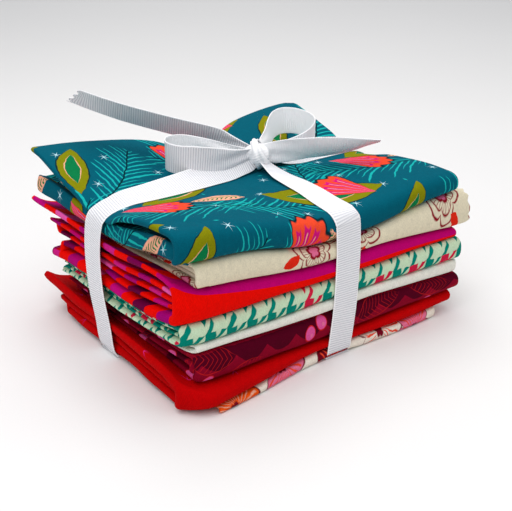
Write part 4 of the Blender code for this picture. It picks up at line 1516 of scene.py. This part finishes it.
def tilted(x, front_y, lean, width, lift=ON_CLOTH):
    """A row of the lengthwise turn whose front edge lies on the cloth and whose back edge stands up."""
    half_width, angle = width / 2, math.radians(lean)
    height = over_top(x, front_y, lift) + half_width * math.sin(angle)
    return Rib(x, front_y + half_width * math.cos(angle), height, lean, width)


def over_front(x, degrees, lift=0.4):
    """A row on the front fold of the top cloth, by degrees from its top to its foremost line."""
    teal = CLOTHS[-1]
    start = float(front_edge(teal, np.array(x))) + teal.nose
    stack = levels(len(CLOTHS) - 1, np.array(x), np.array(start))
    top, bottom = float(stack[0][1]), float(stack[-1][0])
    sine, cosine = rounded_step(math.radians(degrees))
    height = (top + bottom) / 2 + ((top - bottom) / 2 + lift) * cosine
    return Rib(x, start - (teal.nose + lift) * sine, height)


print("ribbon beside the knot:", round(over_top(CROSS_X, LONG_Y), 1), "mm high")

# %% [markdown]
# Each table follows its turn once round the bundle and begins and ends in the knot: place, then lean in
# degrees, then width. Most heights on the top come from the cloth, and those of the sides and the
# underside are measured.

# %% Paths of the two turns
CROSS_BAND = (
    Rib(100, 74, 89, 25, 9), Rib(100.8, 67.5, 86.2, 18, 11.5),
    Rib(101.5, 58, over_top(101, 58, 1.2), 9, 14),
    Rib(101.6, 46, over_top(101, 46, 0.5), 5, 15.6), Rib(101, 33, over_top(100, 33), 4),
    Rib(99.4, 20, over_top(98, 20), 2), over_front(98.4, 2), over_front(98, 18), over_front(97.9, 34),
    over_front(98, 50), over_front(98.3, 66), over_front(98.7, 82), Rib(99.2, 0.45, 68),
    Rib(99.6, 0.4, 56), Rib(99.3, 0.4, 42), Rib(98.6, 0.4, 28), Rib(97.2, 0.4, 16),
    Rib(96.2, 0.5, 8), Rib(95.9, 1, 3.4), Rib(95.9, 3, 1), Rib(95.9, 8, 0.45),
    Rib(96.5, 70, 0.35), Rib(97.8, 132, 0.35), Rib(98, 136.6, 1.2), Rib(98, 138.9, 5),
    Rib(98, 139.2, 20), Rib(98.2, 139.2, 50), Rib(98.2, 139.2, 74),
    Rib(98.3, 138.6, over_top(98, 137) - 2.2), Rib(98.4, 134.5, over_top(98, 134.5)),
    Rib(98.5, 130.5, over_top(98.5, 130.5)), Rib(98.6, 126, over_top(98.6, 126)),
    Rib(98.8, 120, over_top(98, 120)), Rib(99.3, 104, over_top(99, 104)),
    Rib(99.8, 92, over_top(100, 92, 1.2), 10, 13), Rib(100, 84.5, 88.2, 20, 9.5),
    Rib(100, 80, 89.6, 20, 8.5),
)
LONG_BAND = (
    Rib(97.5, 77, 89.6, 60, 8), tilted(92, 72.5, 52, 10.5, 1.5),
    tilted(85, 70.8, 43, 13, 1), tilted(77, 69.4, 35, 15.2), tilted(68, 68.3, 28, 16),
    tilted(57, 67.2, 23, 16), tilted(45, 66.4, 18.5, 16), tilted(30, 66.2, 13, 16),
    tilted(16, 66.6, 8, 16), Rib(9, 75.4, over_top(9, 75.4), 3),
    Rib(4, 76.3, over_top(4, 76), 1), Rib(0.6, 77, over_top(1, 77) - 0.7), Rib(-1.2, 78, 75),
    Rib(-1.9, 79.8, 68), Rib(-2, 81.6, 54), Rib(-1.8, 80.8, 36), Rib(-0.8, 77.8, 18),
    Rib(-0.4, 76.6, 8), Rib(0.6, 76.4, 3.4), Rib(3, 76.4, 1), Rib(9, 76.6, 0.45),
    Rib(80, 77.6, 0.45), Rib(86, 77.8, 1.05), Rib(106, 78, 1.05), Rib(112, 78, 0.45),
    Rib(168, 78, 0.45), Rib(174.6, 78, 1.2), Rib(177, 78, 5), Rib(177.3, 78, 16),
    Rib(177.3, 78, 50), Rib(177.3, 78, 72), Rib(176.8, 78, over_top(175, 78) - 1.8),
    Rib(173, 78, over_top(173, 78)), Rib(169.5, 78, over_top(169.5, 78)),
    Rib(166, 78, over_top(166, 78)), Rib(160, 78, over_top(160, 78)),
    Rib(140, 78, over_top(140, 78)), Rib(124, 78, over_top(124, 78), 0, 15),
    Rib(113, 78, over_top(113, 78, 1.6), -8, 12), Rib(106, 78, 88.4, -20, 9),
    Rib(102.5, 78, 89.6, -20, 8),
)
print("rows in the tables:", len(CROSS_BAND), len(LONG_BAND))

# %% [markdown]
# The bow has two loops and two tails. Grosgrain is stiff, so the loops stand on their edges, and the long
# tail leans back in the air. All four begin gathered, just inside the side of the knot that faces them,
# so that none of them seems stuck on.

# %% Paths of the bow
KNOT_X, KNOT_Y, KNOT_Z = 100.0, 78.0, 90.5
KNOT_RADII = (8.0, 7.0, 5.0)
INSIDE_KNOT, GATHERED = 0.5, 0.7


def at_knot(direction, lean, width):
    """The gathered end of a bow part, just inside the side of the knot that faces a direction."""
    angle = math.radians(direction)
    x, y = math.cos(angle), math.sin(angle)
    reach = INSIDE_KNOT / math.hypot(x / KNOT_RADII[0], y / KNOT_RADII[1])
    return Rib(KNOT_X + reach * x, KNOT_Y + reach * y, KNOT_Z, lean, width, 0.0, GATHERED)


BOW = {
    "loop_left": (
        at_knot(190, -90, 8.5), Rib(83, 75.4, 91.6, -90, 11, 0, 0.5),
        Rib(73, 76, 92.6, -90, 13.8, 0, 0.2), Rib(62, 79.5, 93.6, -90), Rib(54, 86, 94.2, -90),
        Rib(51.6, 94, 94.8, -90), Rib(57, 101, 95.2, -90), Rib(67, 100.5, 94.6, -90, 15.5),
        Rib(77.5, 93.5, 93.2, -90, 13, 0, 0.3), Rib(86.5, 86.2, 91.8, -90, 10, 0, 0.5),
        at_knot(152, -90, 7.5)),
    "loop_right": (
        at_knot(42, -86, 8.5), Rib(115.2, 90, 92.2, -82, 12.5, 0, 0.4),
        Rib(125, 99.6, 93.8, -84, 15.2), Rib(134.2, 107.4, 95, -86), Rib(143.6, 110.6, 95.2, -88),
        Rib(150.5, 105.5, 94.8, -92), Rib(152.5, 96, 93.6, -90), Rib(149, 87, 92.4, -90),
        Rib(138.5, 79, 91.4, -90, 14.5), Rib(124, 76, 90.9, -90, 11, 0, 0.4),
        at_knot(2, -90, 8)),
    "tail_left": (
        at_knot(108, -84, 8.5), Rib(91.5, 92.6, 95.6, -66, 12, 0, 0.4),
        Rib(84, 99.8, 99.2, -57, 15.5), Rib(69.1, 114, 103.6, -54), Rib(52, 130, 109.2, -53),
        Rib(43.2, 138, 112.6, -52), Rib(34.6, 146, 116.4, -51), Rib(28.5, 151.6, 119.4, -50)),
    "tail_right": (
        at_knot(326, -98, 12), Rib(113.6, 67.8, 92.8, -111, 15, 0, 0.3),
        Rib(121.5, 61.5, 94.2, -119, 16, 0.8), Rib(133, 55, 94.8, -124, 16, 2.2),
        Rib(145, 50, 94.8, -132, 13.5, 2.2), Rib(153, 46.5, 95.4, -138, 8.5, 1),
        Rib(160, 43.5, 95.8, -140, 2.5)),
}
print("bow parts:", ", ".join(BOW))

# %% [markdown]
# Grosgrain is white polyester with a low, silky gloss. The ribs stand up in the mesh already, so the
# shader adds what is finer: threads across the ribs, a plain selvedge, and shade painted where ribs and
# threads dip.

# %% White grosgrain
CROSS_THREAD = 0.42
SELVEDGE_START = 7.4
PAINTED_VALLEY_SHADE, RIB_WHITE = srgb(200, 201, 207), srgb(250, 250, 251)
RIBBON_ROUGH, RIBBON_SHEEN, RIBBON_SPECULAR = 0.62, 0.05, 0.4
RIBBON_BUMP = (0.5, 0.0002)


def draw_ribs(place, pitch):
    """Ribs across the ribbon, with the fine threads that cross them and a plain selvedge."""
    x, y, _ = parts(place)
    rib = calc("COSINE", y * FULL_TURN / pitch) * 0.5 + 0.5
    thread = calc("SINE", x * FULL_TURN / CROSS_THREAD) * 0.5 + 0.5
    selvedge = below(SELVEDGE_START, size(x), 0.2)
    return [rib * 0.8 + thread * 0.2, selvedge]


RIBS = group("grosgrain ribs", draw_ribs, {"Place": None, "Pitch": RIB_PITCH},
             {"Height": VALUE, "Selvedge": VALUE})


def grosgrain(name):
    """Ribbed white ribbon, with shade painted into the valleys between its ribs."""
    material, tree, shader = new_material(name)
    height, selvedge = use(RIBS, cloth_place(tree), Pitch=RIB_PITCH)
    # Painted shade: the white is darker where the ribs and threads dip, lightest on the ribs and selvedge.
    feed(tree, shader.inputs["Base Color"], mixed(either(height, selvedge), PAINTED_VALLEY_SHADE, RIB_WHITE))
    feed(tree, shader.inputs["Roughness"], calc("ADD", height * -0.12, RIBBON_ROUGH))
    shader.inputs["Sheen Weight"].default_value = RIBBON_SHEEN
    shader.inputs["Specular IOR Level"].default_value = RIBBON_SPECULAR
    raised(tree, shader, height, RIBBON_BUMP)
    return material


ribbon_white = grosgrain("white_grosgrain")
print(ribbon_white.name, "has", len(ribbon_white.node_tree.nodes), "nodes")

# %% [markdown]
# The knot is one turn of ribbon, drawn in narrow, round the middle of the bow. Under it lies a lump of
# squeezed ribbon, which a ball with pleats can stand for, because only its sides show. The wrap leans
# left as seen from the front.

# %% The turn over the knot
KNOT_TURN = 12
KNOT_WIDTH, KNOT_FLAT = 6.4, 10.0
KNOT_HIGH, KNOT_LOW, KNOT_DEEP = 7.2, 6.8, 8.7
KNOT_MIDDLE = Vector((100.8, 77.0, 91.2))
KNOT_AWAY, KNOT_RIGHT = Vector((0.6, 0.8, 0.0)), Vector((0.8, -0.6, 0.0))
KNOT_TWIST, KNOT_NARROWS, KNOT_CURL, KNOT_PLEAT = 10.0, 1.9, 0.9, 0.35
knot_up = (Vector((0.0, 0.0, 0.93)) - 0.40 * KNOT_RIGHT).normalized()
knot_axis = KNOT_AWAY.cross(knot_up)


def knot_wrap():
    """The turn that holds the bow, drawn in narrow and leaning left as seen from the front."""
    ribs = []
    for step in range(KNOT_TURN + 1):
        angle = 2 * math.pi * step / KNOT_TURN - math.pi / 2
        rise = math.sin(angle) * (KNOT_HIGH if 0 < angle < math.pi else KNOT_LOW)
        place = KNOT_MIDDLE + KNOT_DEEP * math.cos(angle) * KNOT_AWAY + rise * knot_up
        width = KNOT_WIDTH - KNOT_NARROWS * math.sin(angle)
        ribs.append(Rib(*place, KNOT_TWIST * math.sin(2 * angle), width, KNOT_CURL, KNOT_PLEAT))
    return tuple(ribs)


print("rows in the knot's table:", len(knot_wrap()))

# %% [markdown]
# The lump under the wrap is a ball with seven pleats and three soft lumps, flattened to the size of the
# knot. It has cloth coordinates as well, so that the ribbon's own finish fits it.

# %% The core of the knot
CORE_PART = 0.86
CORE_STRETCH = (1.1, 1.0, 1.4)
CORE_PLEATS, CORE_LUMPS = (7, 0.10), (3, 0.06)
CORE_U, CORE_V = 0.3, 0.6
POLE = 0.02


def knot_core(rows=28, sides=64):
    """A flattened ball, pleated where the ribbon is squeezed together."""
    vertices, faces, uvs = [], [], []
    for row in range(rows + 1):
        polar = math.pi * (row + POLE) / (rows + 2 * POLE)
        for side in range(sides):
            turn = 2 * math.pi * side / sides
            pleats = CORE_PLEATS[1] * math.sin(CORE_PLEATS[0] * turn + 2.5 * polar) * math.sin(polar)
            lumps = CORE_LUMPS[1] * math.sin(CORE_LUMPS[0] * turn - polar)
            part = CORE_PART * (1.0 + pleats + lumps)
            radii = [radius * part * stretch for radius, stretch in zip(KNOT_RADII, CORE_STRETCH)]
            vertices.append((KNOT_X + radii[0] * math.sin(polar) * math.cos(turn),
                             KNOT_Y + radii[1] * math.sin(polar) * math.sin(turn),
                             KNOT_Z + radii[2] * math.cos(polar)))
    for row in range(rows):
        for side in range(sides):
            following = (side + 1) % sides
            a, b = row * sides + side, row * sides + following
            faces.append((a, a + sides, b + sides, b))
            u, v = CORE_U * side, CORE_V * row
            uvs.extend(((u, v), (u, v + CORE_V), (u + CORE_U, v + CORE_V), (u + CORE_U, v)))
    mesh = bpy.data.meshes.new("knot")
    mesh.from_pydata([metres(*vertex) for vertex in vertices], [], faces)
    mesh.uv_layers.new(name="cloth").data.foreach_set("uv", np.array(uvs, dtype=np.float32).ravel())
    mesh.shade_smooth()
    return mesh


print("sizes of the core:", [round(2 * r * CORE_PART * s, 1) for r, s in zip(KNOT_RADII, CORE_STRETCH)])

# %% [markdown]
# All the ribbon is made of one material, and all of it but the core by one loop. The two turns are pulled
# tight, the bow is folded, and the core isn't a sheet but a soft body.

# %% Make the ribbon
TAIL_SLANT = 7.0
STRIPS = {"band_cross": (CROSS_BAND, (-1.0, 0.0, 0.0), "ribbon_cross"),
          "band_long": (LONG_BAND, (0.0, 1.0, 0.0), "ribbon_long")}
STRIPS.update({name: (ribs, None, "ribbon_" + name) for name, ribs in BOW.items()})
STRIPS["knot_wrap"] = (knot_wrap(), tuple(knot_axis), "ribbon_knot")
knot = add_piece("knot", knot_core(), ribbon_white, "ribbon_knot")
for name, (ribs, hint, node) in STRIPS.items():
    mesh, run = sheet_mesh(name, ribbon_rows(ribs, hint, TAIL_SLANT if name == "tail_left" else 0.0))
    piece = add_piece(name, mesh, ribbon_white, node)
    print(name, round(run), "mm of ribbon,", len(mesh.polygons), "faces")

# %% [markdown]
# Under the loose flap the teal cloth is rolled, so its left end is one closed fold round the three lower
# legs. It is a strip bent round them, as deep as they are thick.

# %% Closed end of the teal roll
END_FOLD_STEPS = 22
END_FOLD_REACH = 6.0
END_FOLD_LEFT, END_FOLD_THICK, END_FOLD_WIDTH = -0.6, 0.7, 18.0
FIRST_Y, LAST_Y, END_FOLD_ROWS = 1.6, 145.0, 52
PULLED_IN, CORNER_IN, CORNER_RUN = 1.4, 5.0, 9.0
CREST, CREST_AT, CREST_SPREAD = 2.4, 0.24, 0.13


def end_inset(y):
    """How far the closed end draws back: a slow wobble, the ribbon's pull and the front corner."""
    pull = PULLED_IN * float(bell(y - LONG_Y, END_PULL_SPREAD))
    return wobble(3.0, y) + pull + CORNER_IN * max(0.0, 1 - y / CORNER_RUN) ** 2


def end_fold_rows():
    """Rows from front to back; each runs from the top of the roll round its end to its underside."""
    rows = []
    for y in np.linspace(FIRST_Y, LAST_Y, END_FOLD_ROWS):
        stack = levels(7, np.full(3, END_FOLD_REACH), np.full(3, y))
        top, bottom = float(stack[1][1][0]) + 0.2, float(stack[3][0][0]) + 0.1
        middle, half = (top + bottom) / 2, (top - bottom) / 2
        reach = END_FOLD_REACH - end_inset(y)
        high = min(CREST, 0.45 * max(0.0, float(stack[0][0][0]) - top))
        outer, inner, across = [], [], []
        for step in range(END_FOLD_STEPS + 1):
            part = step / END_FOLD_STEPS
            sine, cosine = rounded_step(math.pi * part)
            crest = high * math.exp(-((part - CREST_AT) / CREST_SPREAD) ** 2)
            for side, depth in ((outer, 0.0), (inner, END_FOLD_THICK)):
                x = END_FOLD_LEFT + END_FOLD_REACH - (reach - depth) * sine
                side.append((x, y, middle + (half - depth) * cosine + crest))
            across.append(-END_FOLD_WIDTH * part)
        share = np.ones(END_FOLD_STEPS + 1)
        share[0] = share[-1] = 0.0
        rows.append(make_row(np.array(outer), np.array(inner), share, np.array(across)))
    return rows


mesh, run = sheet_mesh("folded_teal_end", end_fold_rows())
piece = add_piece("folded_teal_end", mesh, COTTONS["teal"], "cloth_teal")
print("end fold", round(run), "mm long")
